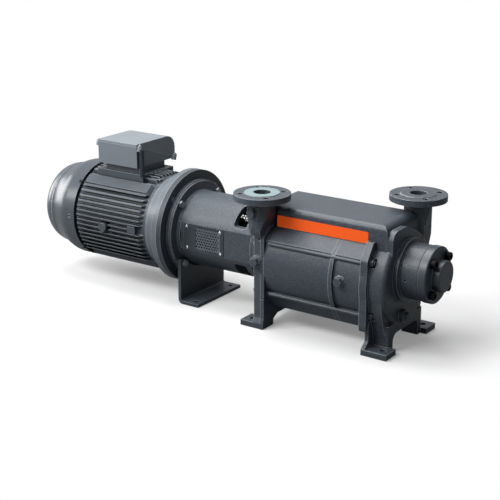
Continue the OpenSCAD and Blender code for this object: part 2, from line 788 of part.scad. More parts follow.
// Pump shaft
shaft_shoulder_r = 23;
shaft_chamfer = 1.5;
key_w = 10;
key_h = 8;
key_l = 36;
key_from_end = 6;
module keyway(x0, r, w, h, l) {
  translate([x0, -w / 2, shaft_h + r - h / 2]) cube([l, w, h]);
}
pump_key_x = pump_shaft_start_x + key_from_end;
module pump_shaft() {
  color("#b9bec3") difference() {
    x_turned([
      [0, pump_shaft_start_x], [coupling_shaft_r - shaft_chamfer, pump_shaft_start_x],
      [coupling_shaft_r, pump_shaft_start_x + shaft_chamfer],
      [coupling_shaft_r, drive_bearing_x - foot_t], [bearing_bore_r, drive_bearing_x - foot_t],
      [bearing_bore_r, drive_bearing_x + bearing_w], [seal_shaft_r, drive_bearing_x + bearing_w],
      [seal_shaft_r, stage_1_x - port_plate_t], [pump_shaft_r, stage_1_x - port_plate_t],
      [pump_shaft_r, far_plate_x + port_plate_t], [seal_shaft_r, far_plate_x + port_plate_t],
      [seal_shaft_r, far_bearing_x], [bearing_bore_r, far_bearing_x],
      [bearing_bore_r, pump_shaft_end_x - shaft_chamfer],
      [bearing_bore_r - shaft_chamfer, pump_shaft_end_x], [0, pump_shaft_end_x]]);
    keyway(pump_key_x - seat_gap, coupling_shaft_r, key_w + 2 * seat_gap, key_h + 2 * seat_gap,
      key_l + 2 * seat_gap);
  }
}
module pump_key() {
  color("#8f959a") keyway(pump_key_x, coupling_shaft_r, key_w, key_h, key_l);
}
nut_r = 30;
nut_t = 9;
module shaft_nut() {
  color("#6d7277") x_ring(far_bearing_x + bearing_w + seat_gap, far_bearing_x + bearing_w + seat_gap + nut_t,
    nut_r, bearing_bore_r + seat_gap);
}

// Mechanical seals
seat_t = 10;
seal_seat_in_r = 25;
ring_t = 20;
ring_r = 33;
drive_seat_in = 3;
far_seat_in = 13;
drive_seat_x = lantern_end_x + drive_seat_in;
far_seat_x = face_x - far_seat_in;
module seal_seats() {
  color("#6b4f3a") {
    x_ring(drive_seat_x, drive_seat_x + seat_t, seal_bore_r - seat_gap, seal_seat_in_r);
    x_ring(far_seat_x, far_seat_x + seat_t, seal_bore_r - seat_gap, seal_seat_in_r);
  }
}
seal_face_gap = 0.3;
module seal_rings() {
  drive_ring_x = drive_seat_x + seat_t + seal_face_gap;
  far_ring_x = far_seat_x - seal_face_gap - ring_t;
  color("#2c2f33") {
    x_ring(drive_ring_x, drive_ring_x + ring_t, ring_r, seal_shaft_r + seat_gap);
    x_ring(far_ring_x, far_ring_x + ring_t, ring_r, seal_shaft_r + seat_gap);
  }
}

// Deep groove ball bearings
ball_share = 0.3;
land_share = 0.34;
groove_gap = 0.08;
function pitch_r(ri, ro) = (ri + ro) / 2;
function ball_r(ri, ro) = (ro - ri) * ball_share;
module groove_cut(x0, w, ri, ro) {
  translate([x0 + w / 2, 0, shaft_h]) rotate([0, 90, 0]) rotate_extrude()
    translate([pitch_r(ri, ro), 0]) circle(ball_r(ri, ro) + groove_gap);
}
module outer_race(x0, w, ri, ro) {
  difference() {
    x_ring(x0, x0 + w, ro, ro - (ro - ri) * land_share);
    groove_cut(x0, w, ri, ro);
  }
}
module inner_race(x0, w, ri, ro) {
  difference() {
    x_ring(x0, x0 + w, ri + (ro - ri) * land_share, ri + seat_gap);
    groove_cut(x0, w, ri, ro);
  }
}
balls_n = 8;
module ball_set(x0, w, ri, ro) {
  ring_places(pitch_r(ri, ro), balls_n, 0) translate([x0 + w / 2, 0, 0]) sphere(r = ball_r(ri, ro));
}
module bearing_outer_rings() {
  color("#c9cdd0") {
    outer_race(drive_bearing_x, bearing_w, bearing_bore_r, bearing_out_r);
    outer_race(far_bearing_x, bearing_w, bearing_bore_r, bearing_out_r);
    outer_race(motor_bearing_x, motor_bearing_w, motor_journal_r, motor_bearing_r);
    outer_race(rear_bearing_x, rear_bearing_w, motor_journal_r, rear_bearing_r);
  }
}
module pump_bearing_inner_rings() {
  color("#c9cdd0") {
    inner_race(drive_bearing_x, bearing_w, bearing_bore_r, bearing_out_r);
    inner_race(far_bearing_x, bearing_w, bearing_bore_r, bearing_out_r);
  }
}
module pump_bearing_balls() {
  color("#dfe2e4") {
    ball_set(drive_bearing_x, bearing_w, bearing_bore_r, bearing_out_r);
    ball_set(far_bearing_x, bearing_w, bearing_bore_r, bearing_out_r);
  }
}
module motor_bearing_inner_rings() {
  color("#c9cdd0") {
    inner_race(motor_bearing_x, motor_bearing_w, motor_journal_r, motor_bearing_r);
    inner_race(rear_bearing_x, rear_bearing_w, motor_journal_r, rear_bearing_r);
  }
}
module motor_bearing_balls() {
  color("#dfe2e4") {
    ball_set(motor_bearing_x, motor_bearing_w, motor_journal_r, motor_bearing_r);
    ball_set(rear_bearing_x, rear_bearing_w, motor_journal_r, rear_bearing_r);
  }
}

// Drive end bearing housing, inside the lantern
bearing_shell_r = 56;
bearing_flange_r = 76;
bearing_flange_t = 10;
housing_screw_ring = 66;
housing_screw_r = 4;
housing_screw_l = 18;
shell_lip = 8;
module pump_bearing_housing() {
  shell_x = drive_bearing_x - shell_lip;
  color("#4a5158") difference() {
    union() {
      x_rod(shell_x, lantern_end_x, bearing_shell_r);
      x_rod(lantern_end_x - bearing_flange_t, lantern_end_x, bearing_flange_r);
    }
    x_rod(shell_x - cut, lantern_end_x + cut, shaft_shoulder_r + cut);
    x_rod(drive_bearing_x, drive_bearing_x + bearing_w + cut, bearing_out_r + seat_gap);
    ring_places(housing_screw_ring, 4, 0)
      x_rod(lantern_end_x - bearing_flange_t - cut, lantern_end_x + cut, housing_screw_r + bolt_gap, 0, 0);
  }
}
screw_head_ratio = 1.7;
module bearing_housing_screws() {
  color("#25282b") ring_places(housing_screw_ring, 4, 0)
    cap_screw(lantern_end_x - bearing_flange_t, bearing_flange_t + housing_screw_l - cut, housing_screw_r,
      housing_screw_r * screw_head_ratio, housing_screw_r * 2, -1);
}

// End cover
cover_edge_r = 4;
cover_screw_r = 6;
cover_screw_l = 24;
cover_head_r = 10.5;
cover_head_h = 12;
cover_hollow_r = 33;
cover_spigot_l = housing_x + cover_seal_t - far_bearing_x - bearing_w;
module cover_seal_ring() {
  color("#15171a") difference() {
    x_ring(housing_x, cover_x, housing_r - cut, bearing_out_r + seat_gap);
    ring_places(cover_screw_ring, 4, 45) x_rod(housing_x - cut, cover_x + cut, cover_screw_r + bolt_gap, 0, 0);
  }
}
module end_cover() {
  hollow_x = pump_shaft_end_x + foot_corner_r;
  color("#4a5158") difference() {
    x_turned(rounded([
      [0, cover_x - cover_spigot_l], [bearing_out_r - seat_gap, cover_x - cover_spigot_l],
      [bearing_out_r - seat_gap, cover_x], [cover_r, cover_x],
      [cover_r, cover_face_x, cover_edge_r], [boss_r, cover_face_x, cover_edge_r],
      [boss_r, boss_face_x, cover_edge_r], [0, boss_face_x]]));
    x_rod(cover_x - cover_spigot_l - cut, hollow_x, cover_hollow_r);
    ring_places(cover_screw_ring, 4, 45) {
      x_rod(cover_x - cut, boss_face_x, cover_screw_r + bolt_gap, 0, 0);
      x_rod(cover_face_x, boss_face_x + cut, cover_head_r + bolt_gap, 0, 0);
    }
  }
}
module cover_screws() {
  color("#17191b") ring_places(cover_screw_ring, 4, 45)
    cap_screw(cover_face_x, cover_t + cover_seal_t + cover_screw_l - cut, cover_screw_r, cover_head_r, cover_head_h);
}

// Pipe plugs
plug_r = 13;
plug_h = 9;
plug_shank_r = 9;
plug_shank_l = 10;
plug_collar_r = 14;
plug_collar_t = 2;
module plug_hole(x, y, z, way) {
  translate([x, y, z]) rotate([0, 90 * way, 0]) translate([0, 0, -cut])
    cylinder(h = plug_shank_l + cut + bolt_gap, r = plug_shank_r + bolt_gap);
}
module front_plug_hole(x, y, z) {
  translate([x, y - cut, z]) rotate([-90, 0, 0]) cylinder(h = plug_shank_l + 2 * cut, r = plug_shank_r + bolt_gap);
}
module plug_shape() {
  translate([0, 0, -plug_shank_l]) cylinder(h = plug_shank_l, r = plug_shank_r);
  cylinder(h = plug_collar_t, r = plug_collar_r);
  translate([0, 0, plug_collar_t]) cylinder(h = plug_h, r = plug_r, $fn = 6);
}
module pipe_plugs() {
  color("#3d4349") {
    translate([-flange_along - plug_shift, -flange_side - inlet_neck_r - plug_pad_l, plug_boss_z])
      rotate([90, 0, 0]) plug_shape();
    translate([-flange_along - plug_shift, -plug_pad_y, side_plug_z]) rotate([90, 0, 0]) plug_shape();
    translate([face_x + far_plug_boss_l, far_plug_y, far_plug_z]) rotate([0, 90, 0]) plug_shape();
    translate([mid_plug_x, mid_plug_boss_y, mid_plug_z]) rotate([90, 0, 0]) plug_shape();
  }
}

// Top chamber between the stages
chamber_neck_gap = 4;
chamber_skirt = 24;
chamber_end_share = 1.4;
module chamber_block(x0, x1, half_w, z0, z1, r) {
  intersection() {
    x_prism(x0, x1) polygon(rounded([[-half_w, z0], [-half_w, z1, r], [half_w, z1, r], [half_w, z0]]));
    y_prism(-half_w - cut, half_w + cut)
      polygon(rounded([[x0, z0], [x1, z0], [x1, z1, r * chamber_end_share], [x0, z1, r]]));
  }
}
module outlet_neck_space(r) {
  translate([flange_along, flange_side, deck_z - chamber_skirt - cut])
    cylinder(h = chamber_h + chamber_skirt + 2 * cut, r = r);
}
module top_chamber() {
  x0 = stage_1_x + chamber_start;
  x1 = drum_x + chamber_past;
  low = deck_z - chamber_skirt;
  top = deck_z + chamber_h;
  color("#4a5158") difference() {
    chamber_block(x0, x1, deck_half_w, low, top, chamber_edge_r);
    difference() {
      chamber_block(x0 + chamber_wall, x1 - chamber_wall, deck_half_w - chamber_wall,
        low + chamber_wall, top - chamber_wall, chamber_edge_r / 2);
      x_rod(x0, x1, stage_r + chamber_wall, 0, stage_z);
      outlet_neck_space(outlet_neck_r + chamber_neck_gap + chamber_wall);
    }
    x_rod(x0 - cut, drum_x + seat_gap, stage_r + seat_gap, 0, stage_z);
    x_rod(x0 - cut, x1 + cut, drum_r + seat_gap, 0, stage_z);
    outlet_neck_space(outlet_neck_r + chamber_neck_gap);
  }
}
strip_t = 1;
strip_h = 33;
strip_rise = 2;
strip_end_gap = 4;
strip_l = 296;
strip_corner_r = 4;
module name_strip() {
  x0 = stage_1_x + chamber_start + strip_end_gap;
  z0 = deck_z + strip_rise;
  color("#ff5a00") y_prism(-deck_half_w - strip_t, -deck_half_w)
    polygon(rounded([[x0, z0, strip_corner_r], [x0 + strip_l, z0, strip_corner_r],
      [x0 + strip_l, z0 + strip_h, strip_corner_r], [x0, z0 + strip_h, strip_corner_r]]));
}
// Tie rods
module tie_rods() {
  x0 = drive_plate_x - rod_nut_h - rod_end_l;
  x1 = drum_x + rod_nut_h + rod_end_l;
  color("#50575e") for (p = rod_places) x_rod(x0, x1, rod_r, p[0], p[1]);
}
module rod_nut(x0, p) {
  difference() {
    translate([x0, p[0], p[1]]) rotate([0, 90, 0]) cylinder(h = rod_nut_h, r = rod_nut_r, $fn = 6);
    x_rod(x0 - cut, x0 + rod_nut_h + cut, rod_r + seat_gap, p[0], p[1]);
  }
}
module tie_rod_nuts() {
  color("#5a6168") for (p = rod_places) {
    rod_nut(drive_plate_x - rod_nut_h, p);
    rod_nut(drum_x, p);
  }
}

// Lantern between motor and pump
lantern_screw_ring = 88;
lantern_screw_r = 4;
lantern_screw_l = 16;
lantern_screws_n = 6;
lantern_screw_first = 30;
lantern_end_t = 11;
lantern_step = 4;
root_r = 6;
root_in = 0.8;
window_out = 66;
window_x0 = lantern_end_x - window_out;
window_l = 46;
window_low = 56;
window_high = 108;
window_r = 9;
guard_in = 39;
guard_x0 = adapter_x + guard_in;
guard_l = 146;
guard_h = 84;
guard_t = 2;
guard_edge = 11;
guard_open_edge = 22;
guard_screw_y_edge = 9;
guard_screw_r = 3;
guard_screw_l = 6;
guard_head_r = 5;
guard_head_h = 2.5;
module lantern_outline() {
  intersection() {
    disc(lantern_r);
    translate([-lantern_flat, 0]) square([2 * lantern_flat, 2 * shaft_h]);
  }
}
module guard_screw_places() {
  for (x = [guard_x0 + guard_edge, guard_x0 + guard_l - guard_edge],
    z = [-guard_h / 2 + guard_screw_y_edge, guard_h / 2 - guard_screw_y_edge])
    translate([x, 0, shaft_h + z]) children();
}
module lantern() {
  color("#4a5158") difference() {
    union() {
      x_rod(adapter_x, bracket_x - lantern_step, lantern_flange_r);
      x_rod(adapter_x, bracket_x, lantern_flange_r - lantern_step);
      x_turned(rounded([[0, adapter_x + lantern_step], [lantern_r + root_r, adapter_x + lantern_step],
        [lantern_r + root_r, bracket_x], [lantern_r - root_in, bracket_x, root_r],
        [lantern_r - root_in, bracket_x + 2 * root_r], [0, bracket_x + 2 * root_r]]));
      x_prism(bracket_x, lantern_end_x) lantern_outline();
    }
    x_rod(adapter_x - cut, lantern_end_x - lantern_end_t, lantern_bore_r);
    x_rod(adapter_x - cut, lantern_end_x + cut, bearing_flange_r + seat_gap * 3);
    for (s = [-1, 1]) y_prism(s > 0 ? 0 : -lantern_r, s > 0 ? lantern_r : 0) {
      for (v = [-1, 1]) polygon(rounded([
        [window_x0, shaft_h + v * window_low, window_r],
        [window_x0 + window_l, shaft_h + v * window_low, window_r],
        [window_x0 + window_l, shaft_h + v * window_high, window_r],
        [window_x0, shaft_h + v * window_high, window_r]]));
      polygon(rounded(box_points(guard_x0 + guard_open_edge, shaft_h - guard_h / 2 + guard_edge,
        guard_x0 + guard_l - guard_open_edge, shaft_h + guard_h / 2 - guard_edge, window_r)));
    }
    guard_screw_places() for (s = [-1, 1]) translate([0, s * lantern_flat, 0]) rotate([s * 90, 0, 0])
      translate([0, 0, -cut]) cylinder(h = guard_screw_l + cut, r = guard_screw_r + bolt_gap);
    ring_places(lantern_bolt_ring, 4, 45)
      x_rod(adapter_x - cut, bracket_x + cut, lantern_bolt_r + bolt_gap, 0, 0);
    ring_places(lantern_screw_ring, lantern_screws_n, lantern_screw_first)
      x_rod(lantern_end_x - lantern_end_t - cut, lantern_end_x + cut, lantern_screw_r + bolt_gap, 0, 0);
  }
}
module lantern_screws() {
  color("#c4c8cb") ring_places(lantern_screw_ring, lantern_screws_n, lantern_screw_first)
    cap_screw(lantern_end_x - lantern_end_t, lantern_end_t + lantern_screw_l - cut, lantern_screw_r,
      lantern_screw_r * screw_head_ratio, lantern_screw_r * 2, -1);
}

// Adapter ring
adapter_bore_r = 104;
spigot_l = 5;
lantern_bolt_r = 6;
lantern_bolt_depth = 12;
lantern_head_r = 11;
lantern_head_h = 8;
motor_bolt_r = 8;
motor_head_r = 13.5;
motor_head_h = 10;
module adapter_ring() {
  color("#3f464d") difference() {
    x_ring(motor_x, adapter_x, adapter_r, adapter_bore_r);
    x_rod(motor_x - cut, motor_x + spigot_l, motor_spigot_r + seat_gap);
    ring_places(motor_bolt_ring, 4, 45) x_rod(motor_x - cut, adapter_x + cut, motor_bolt_r + bolt_gap, 0, 0);
    ring_places(lantern_bolt_ring, 4, 45)
      x_rod(adapter_x - lantern_bolt_depth, adapter_x + cut, lantern_bolt_r + bolt_gap, 0, 0);
  }
}
module lantern_bolts() {
  grip = lantern_flange_t + lantern_bolt_depth - cut;
  color("#aeb3b7") {
    for (y = [-1, 1]) {
      translate([0, y * lantern_bolt_ring * sin(45), shaft_h + lantern_bolt_ring * sin(45)])
        hex_bolt(bracket_x, grip, lantern_bolt_r, lantern_head_r, lantern_head_h);
      translate([0, y * lantern_bolt_ring * sin(45), shaft_h - lantern_bolt_ring * sin(45)])
        hex_bolt(bracket_x + bracket_t, grip + bracket_t, lantern_bolt_r, lantern_head_r, lantern_head_h);
    }
  }
}

// Perforated guards over the coupling openings
hole_d = 5.5;
hole_pitch = 9;
hole_cols = 10;
hole_rows = 7;
hole_from_end = 12;
module guard_plate(side) {
  y0 = side > 0 ? lantern_flat : -lantern_flat - guard_t;
  holes_x = guard_x0 + guard_l - guard_edge - hole_from_end - (hole_cols - 1) * hole_pitch;
  difference() {
    y_prism(y0, y0 + guard_t) difference() {
      polygon(rounded(box_points(guard_x0, shaft_h - guard_h / 2, guard_x0 + guard_l, shaft_h + guard_h / 2,
        guard_t)));
      for (i = [0:hole_cols - 1], j = [0:hole_rows - 1])
        translate([holes_x + (i + (j % 2) / 2) * hole_pitch,
          shaft_h + (j - (hole_rows - 1) / 2) * hole_pitch]) circle(d = hole_d);
    }
    guard_screw_places() translate([0, y0 - cut, 0]) rotate([-90, 0, 0])
      cylinder(h = guard_t + 2 * cut, r = guard_screw_r + bolt_gap);
  }
}
module guard_plates() {
  color("#3a4046") for (s = [-1, 1]) guard_plate(s);
}
module guard_screws() {
  color("#d9dcde") guard_screw_places() for (s = [-1, 1])
    translate([0, s * (lantern_flat + guard_t), 0]) rotate([-90 * s, 0, 0]) {
      cylinder(h = guard_head_h, r = guard_head_r);
      translate([0, 0, -guard_t - guard_screw_l + cut / 2])
        cylinder(h = guard_t + guard_screw_l - cut / 2, r = guard_screw_r);
    }
}

// Support bracket under the lantern
bend_out_r = 15;
bend_in_r = 5;
notch_gap = root_r + 4 * seat_gap;
bracket_hole_in = 52;
low_bolts_from = 225;
bracket_hole_x = bracket_x + bracket_hole_in;
module support_bracket() {
  color("#3f464d") difference() {
    y_prism(-bracket_w / 2, bracket_w / 2) polygon(rounded([
      [bracket_x, 0, bend_out_r], [bracket_x + bracket_foot_l, 0], [bracket_x + bracket_foot_l, bracket_t],
      [bracket_x + bracket_t, bracket_t, bend_in_r], [bracket_x + bracket_t, bracket_h],
      [bracket_x, bracket_h]]));
    x_rod(bracket_x - cut, bracket_x + bracket_t + cut, lantern_r + notch_gap);
    ring_places(lantern_bolt_ring, 2, low_bolts_from)
      x_rod(bracket_x - cut, bracket_x + bracket_t + cut, lantern_bolt_r + bolt_gap, 0, 0);
    translate([0, lantern_bolt_ring * sin(45), shaft_h - lantern_bolt_ring * sin(45)])
      x_rod(bracket_x - cut, bracket_x + bracket_t + cut, lantern_bolt_r + bolt_gap, 0, 0);
    for (s = [-1, 1]) translate([bracket_hole_x, s * bracket_pitch / 2, -cut])
      cylinder(h = bracket_t + 2 * cut, r = bracket_hole_d / 2);
  }
}

// Jaw coupling
module jaw_sector(half_angle) {
  reach = 2 * hub_r;
  intersection() {
    difference() {
      circle(hub_r - jaw_step);
      circle(jaw_in_r);
    }
    polygon([[0, 0], reach * [cos(half_angle), -sin(half_angle)], reach * [cos(half_angle), sin(half_angle)]]);
  }
}
module hub(x0, x1, jaw_x0, jaw_x1, turn) {
  x_prism(x0, x1) disc(hub_r);
  x_prism(jaw_x0, jaw_x1) translate([0, shaft_h])
    for (i = [0:jaws - 1]) rotate(turn + i * 360 / jaws) jaw_sector(jaw_half_angle);
}
motor_key_x = motor_shaft_end_x - key_from_end - key_l;
motor_key_w = 12;
module coupling_motor_hub() {
  x1 = motor_shaft_end_x + cut / 2;
  color("#3b3f44") difference() {
    hub(x1 - hub_l, x1, x1 - cut, x1 + jaw_l, jaw_turn);
    x_rod(x1 - hub_l - cut, x1 + cut / 2, motor_shaft_r + seat_gap);
    keyway(x1 - hub_l - cut, motor_shaft_r, motor_key_w + 2 * seat_gap, key_h + 2 * seat_gap, hub_l + 2 * cut);
  }
}
module coupling_pump_hub() {
  x0 = pump_shaft_start_x - cut / 2;
  color("#3b3f44") difference() {
    hub(x0, x0 + hub_l, x0 - jaw_l, x0 + cut, jaw_turn + 180 / jaws);
    x_rod(x0 - cut / 2, x0 + hub_l + cut, coupling_shaft_r + seat_gap);
    keyway(x0 - cut / 2, coupling_shaft_r, key_w + 2 * seat_gap, key_h + 2 * seat_gap, hub_l + 2 * cut);
  }
}
lobe_half = 9;
module coupling_spider() {
  x0 = motor_shaft_end_x + cut / 2 + jaw_gap;
  x1 = pump_shaft_start_x - cut / 2 - jaw_gap;
  color("#c8341f") x_prism(x0, x1) translate([0, shaft_h]) {
    difference() {
      circle(jaw_in_r - jaw_gap);
      circle(jaw_in_r / 2);
    }
    for (i = [0:2 * jaws - 1]) rotate(jaw_turn + (i + 0.5) * 180 / jaws) intersection() {
      difference() {
        circle(hub_r - cut);
        circle(jaw_in_r - 2 * cut);
      }
      polygon([[0, 0], 2 * hub_r * [cos(lobe_half), -sin(lobe_half)], 2 * hub_r * [cos(lobe_half), sin(lobe_half)]]);
    }
  }
}

// Motor
shield_rim_r = 146;
shield_neck_r = 134;
shield_wall = 16;
shield_ribs = 24;
shield_rib_t = 9;
shield_pocket = 10;
shield_band = 5;
shield_back = 5;
shield_hub_r = 62;
shield_lip_r = 24;
lip_t = 10;
module motor_flange_shield() {
  hub_x = motor_bearing_x - cut;
  color("#4a5158") difference() {
    x_turned(rounded([
      [shield_lip_r, motor_x + spigot_l], [motor_spigot_r, motor_x + spigot_l], [motor_spigot_r, motor_x],
      [adapter_r, motor_x], [adapter_r, flange_back_x], [shield_neck_r, flange_back_x],
      [shield_neck_r, flange_back_x - shield_back], [shield_rim_r, flange_back_x - shield_back],
      [shield_rim_r, frame_x],
      [shield_rim_r - shield_wall, frame_x], [shield_rim_r - shield_wall, flange_back_x - cut],
      [shield_hub_r, flange_back_x - cut], [shield_hub_r, hub_x], [motor_bearing_r + seat_gap, hub_x],
      [motor_bearing_r + seat_gap, motor_bearing_x + motor_bearing_w],
      [motor_bearing_r - lip_t, motor_bearing_x + motor_bearing_w],
      [motor_bearing_r - lip_t, motor_x - cut], [shield_lip_r, motor_x - cut]]));
    ring_places(motor_bolt_ring, 4, 45)
      x_rod(flange_back_x - cut, motor_x + cut, motor_bolt_r + bolt_gap, 0, 0);
    x_prism(frame_x + shield_band, flange_back_x - shield_back) translate([0, shaft_h]) difference() {
      circle(shield_rim_r + cut);
      circle(shield_rim_r - shield_pocket);
      for (i = [0:shield_ribs - 1]) rotate((i + 0.5) * 360 / shield_ribs)
        translate([0, -shield_rib_t / 2]) square([2 * shield_rim_r, shield_rib_t]);
    }
  }
}
module motor_flange_bolts() {
  color("#6a7076") ring_places(motor_bolt_ring, 4, 45)
    hex_bolt(flange_back_x, motor_flange_t + adapter_t - cut, motor_bolt_r, motor_head_r, motor_head_h, -1);
}

// Finned motor frame
side_fins = 7;
bottom_fins = 5;
slab_half_w = 17;
slab_out_r = 157;
slab_angle = 52;
pad_half_w = 76;
pad_rise = 154;
rib_y = 87;
pad_past = 14;
low_pad_half_w = 52;
fin_slope_l = 10;
top_fins = 4;
end_ring_l = 12;
fins_x0 = frame_end_x + end_ring_l;
fins_x1 = frame_x - end_ring_l;
lug_l = 28;
lug_h = 20;
lug_in = 62;
round_boss_in = 160;
lug_x = frame_x - lug_in;
round_boss_x = frame_x - round_boss_in;
round_boss_r = 14;
round_boss_z = -8;
round_boss_y = 163;
fin_end_ring_r = 142;
module frame_outline() {
  circle(frame_core_r);
  intersection() {
    circle(frame_fin_r);
    union() {
      for (i = [-side_fins:side_fins])
        translate([-frame_fin_r, i * fin_pitch - fin_t / 2]) square([2 * frame_fin_r, fin_t]);
      for (j = [-bottom_fins:bottom_fins])
        translate([j * fin_pitch - fin_t / 2, -frame_fin_r]) square([fin_t, frame_fin_r]);
      for (s = [-1, 1]) translate([s * rib_y - fin_t / 2, 0]) square([fin_t, frame_fin_r]);
      for (j = [-top_fins:top_fins]) translate([j * fin_pitch - fin_t / 2, 0]) square([fin_t, pad_rise - cut]);
    }
  }
  for (s = [-1, 1]) rotate(90 - s * (90 - slab_angle)) translate([0, -slab_half_w]) square([slab_out_r, 2 * slab_half_w]);
}
// Band that ends the fins with a slope
module fin_band() {
  x_turned([[0, fins_x0], [fin_end_ring_r, fins_x0], [pad_rise + cut, fins_x0 + fin_slope_l],
    [pad_rise + cut, fins_x1 - fin_slope_l], [fin_end_ring_r, fins_x1], [0, fins_x1]]);
}
module motor_frame() {
  color("#4a5158") difference() {
    union() {
      intersection() {
        x_prism(fins_x0, fins_x1) translate([0, shaft_h]) frame_outline();
        fin_band();
      }
      x_prism(box_x - pad_past, box_x + box_l + pad_past)
        translate([-pad_half_w, shaft_h]) square([2 * pad_half_w, pad_rise]);
      x_prism(fins_x0, fins_x1)
        translate([-low_pad_half_w, shaft_h]) square([2 * low_pad_half_w, fin_end_ring_r]);
      x_rod(frame_end_x, frame_x, fin_end_ring_r);
      for (s = [-1, 1]) {
        translate([round_boss_x, 0, shaft_h + round_boss_z]) rotate([-s * 90, 0, 0])
          cylinder(h = round_boss_y, r = round_boss_r);
        translate([lug_x, s > 0 ? 0 : -frame_fin_r, shaft_h - lug_h / 2]) cube([lug_l, frame_fin_r, lug_h]);
      }
      cowl_screw_places() translate([-cowl_lug_l / 2, -cowl_lug_w / 2, 0])
        cube([cowl_lug_l, cowl_lug_w, cowl_r - cowl_t - seat_gap]);
    }
    cowl_screw_holes();
    x_rod(frame_end_x - cut, frame_x + cut, stator_r + seat_gap);
    for (s = [-1, 1]) {
      translate([0, s > 0 ? frame_core_r : -frame_fin_r - cut, shaft_h + round_boss_z])
        boss_clearance(frame_fin_r - frame_core_r + cut);
      translate([lug_x + lug_l, s > 0 ? fin_end_ring_r : -frame_fin_r - cut, shaft_h - fin_pitch])
        cube([frame_x - lug_x - lug_l + cut, frame_fin_r - fin_end_ring_r + cut, 2 * fin_pitch]);
    }
  }
}
// Clear ring round a side boss, where the fins stop
module boss_clearance(depth) {
  translate([round_boss_x, 0, 0]) rotate([-90, 0, 0]) difference() {
    cylinder(h = depth, r = round_boss_r + fin_t + cut);
    translate([0, 0, -cut]) cylinder(h = depth + 2 * cut, r = round_boss_r);
  }
}
rear_lip_l = 10;
module motor_rear_shield() {
  rear_x = frame_end_x - rear_shield_t;
  color("#434a51") difference() {
    union() {
      x_rod(rear_x, frame_end_x, fin_end_ring_r);
      x_rod(frame_end_x, frame_end_x + rear_lip_l, stator_r - seat_gap);
    }
    x_rod(frame_end_x, frame_end_x + rear_lip_l + cut, stator_r - shield_wall);
    x_rod(rear_bearing_x, frame_end_x + rear_lip_l + cut, rear_bearing_r + seat_gap);
    x_rod(rear_x - cut, frame_end_x, motor_journal_r + cut);
  }
}
module stator_core() {
  color("#8a8f94") x_ring(stator_x, stator_x + stator_l, stator_r, stator_bore_r);
}
winding_out = 8;
winding_l = 34;
winding_edge_r = 8;
module winding(x0, x1) {
  x_turned(rounded([[stator_bore_r + winding_out / 2, x0, winding_edge_r], [stator_r - winding_out, x0, winding_edge_r],
    [stator_r - winding_out, x1, winding_edge_r], [stator_bore_r + winding_out / 2, x1, winding_edge_r]]));
}
module stator_windings() {
  color("#a8562a") {
    winding(stator_x - winding_l, stator_x);
    winding(stator_x + stator_l, stator_x + stator_l + winding_l);
  }
}
rotor_seat_r = 30;
end_ring_t = 14;
module rotor_core() {
  color("#9aa0a5") x_ring(stator_x - end_ring_t, stator_x + stator_l + end_ring_t,
    stator_bore_r - air_gap, rotor_seat_r + seat_gap);
}
fan_seat_r = 18;
fan_hub_l = 40;
fan_hub_gap = 6;
fan_x = frame_end_x - rear_shield_t - fan_hub_gap - fan_hub_l;
shaft_tail = 5;
module motor_shaft() {
  color("#b9bec3") difference() {
    x_turned([
      [0, fan_x - shaft_tail], [fan_seat_r, fan_x - shaft_tail], [fan_seat_r, frame_end_x - rear_shield_t - cut],
      [motor_journal_r, frame_end_x - rear_shield_t - cut], [motor_journal_r, rear_bearing_x + rear_bearing_w],
      [rotor_seat_r - cut, rear_bearing_x + rear_bearing_w], [rotor_seat_r - cut, stator_x - end_ring_t],
      [rotor_seat_r, stator_x - end_ring_t],
      [rotor_seat_r, stator_x + stator_l + end_ring_t], [rotor_seat_r - cut, stator_x + stator_l + end_ring_t],
      [rotor_seat_r - cut, motor_bearing_x], [motor_journal_r, motor_bearing_x],
      [motor_journal_r, motor_x + spigot_l + lip_t], [motor_shaft_r, motor_x + spigot_l + lip_t],
      [motor_shaft_r, motor_shaft_end_x - shaft_chamfer],
      [motor_shaft_r - shaft_chamfer, motor_shaft_end_x], [0, motor_shaft_end_x]]);
    keyway(motor_key_x - seat_gap, motor_shaft_r, motor_key_w + 2 * seat_gap, key_h + 2 * seat_gap,
      key_l + 2 * seat_gap);
  }
}
module motor_key() {
  color("#8f959a") keyway(motor_key_x, motor_shaft_r, motor_key_w, key_h, key_l);
}

// Cooling fan and its cowl
cowl_past = 0.5;
cowl_r = frame_fin_r + cowl_past;
fan_blades = 8;
fan_hub_r = 28;
fan_disc_r = 70;
fan_disc_t = 4;
fan_blade_t = 3.5;
fan_blade_l = 34;
module fan() {
  color("#26292c") difference() {
    union() {
      x_rod(fan_x, fan_x + fan_hub_l, fan_hub_r);
      x_rod(fan_x + fan_hub_l - fan_disc_t, fan_x + fan_hub_l, fan_disc_r);
      for (i = [0:fan_blades - 1])
        translate([fan_x + fan_hub_l - fan_blade_l, 0, shaft_h]) rotate([i * 360 / fan_blades, 0, 0])
          translate([-fan_disc_t / 2, -fan_blade_t / 2, fan_hub_r - cut])
            cube([fan_blade_l, fan_blade_t, fan_r - fan_hub_r + cut]);
    }
    x_rod(fan_x - cut, fan_x + fan_hub_l + cut, fan_seat_r + seat_gap);
  }
}
cowl_straight = 30;
cowl_shoulder = 80;
cowl_steps = 10;
cowl_overlap = 8;
grille_r = 66;
grille_hole_d = 8;
grille_pitch = 13;
grille_span = 5;
slot_w = 5;
slot_l = 12;
cowl_screw_r = 2.5;
cowl_screw_foot_r = 144;
cowl_head_r = 4.5;
cowl_head_h = 2.5;
cowl_lug_w = 14;
cowl_lug_l = 7;
function ease(t) = t * t * (3 - 2 * t);
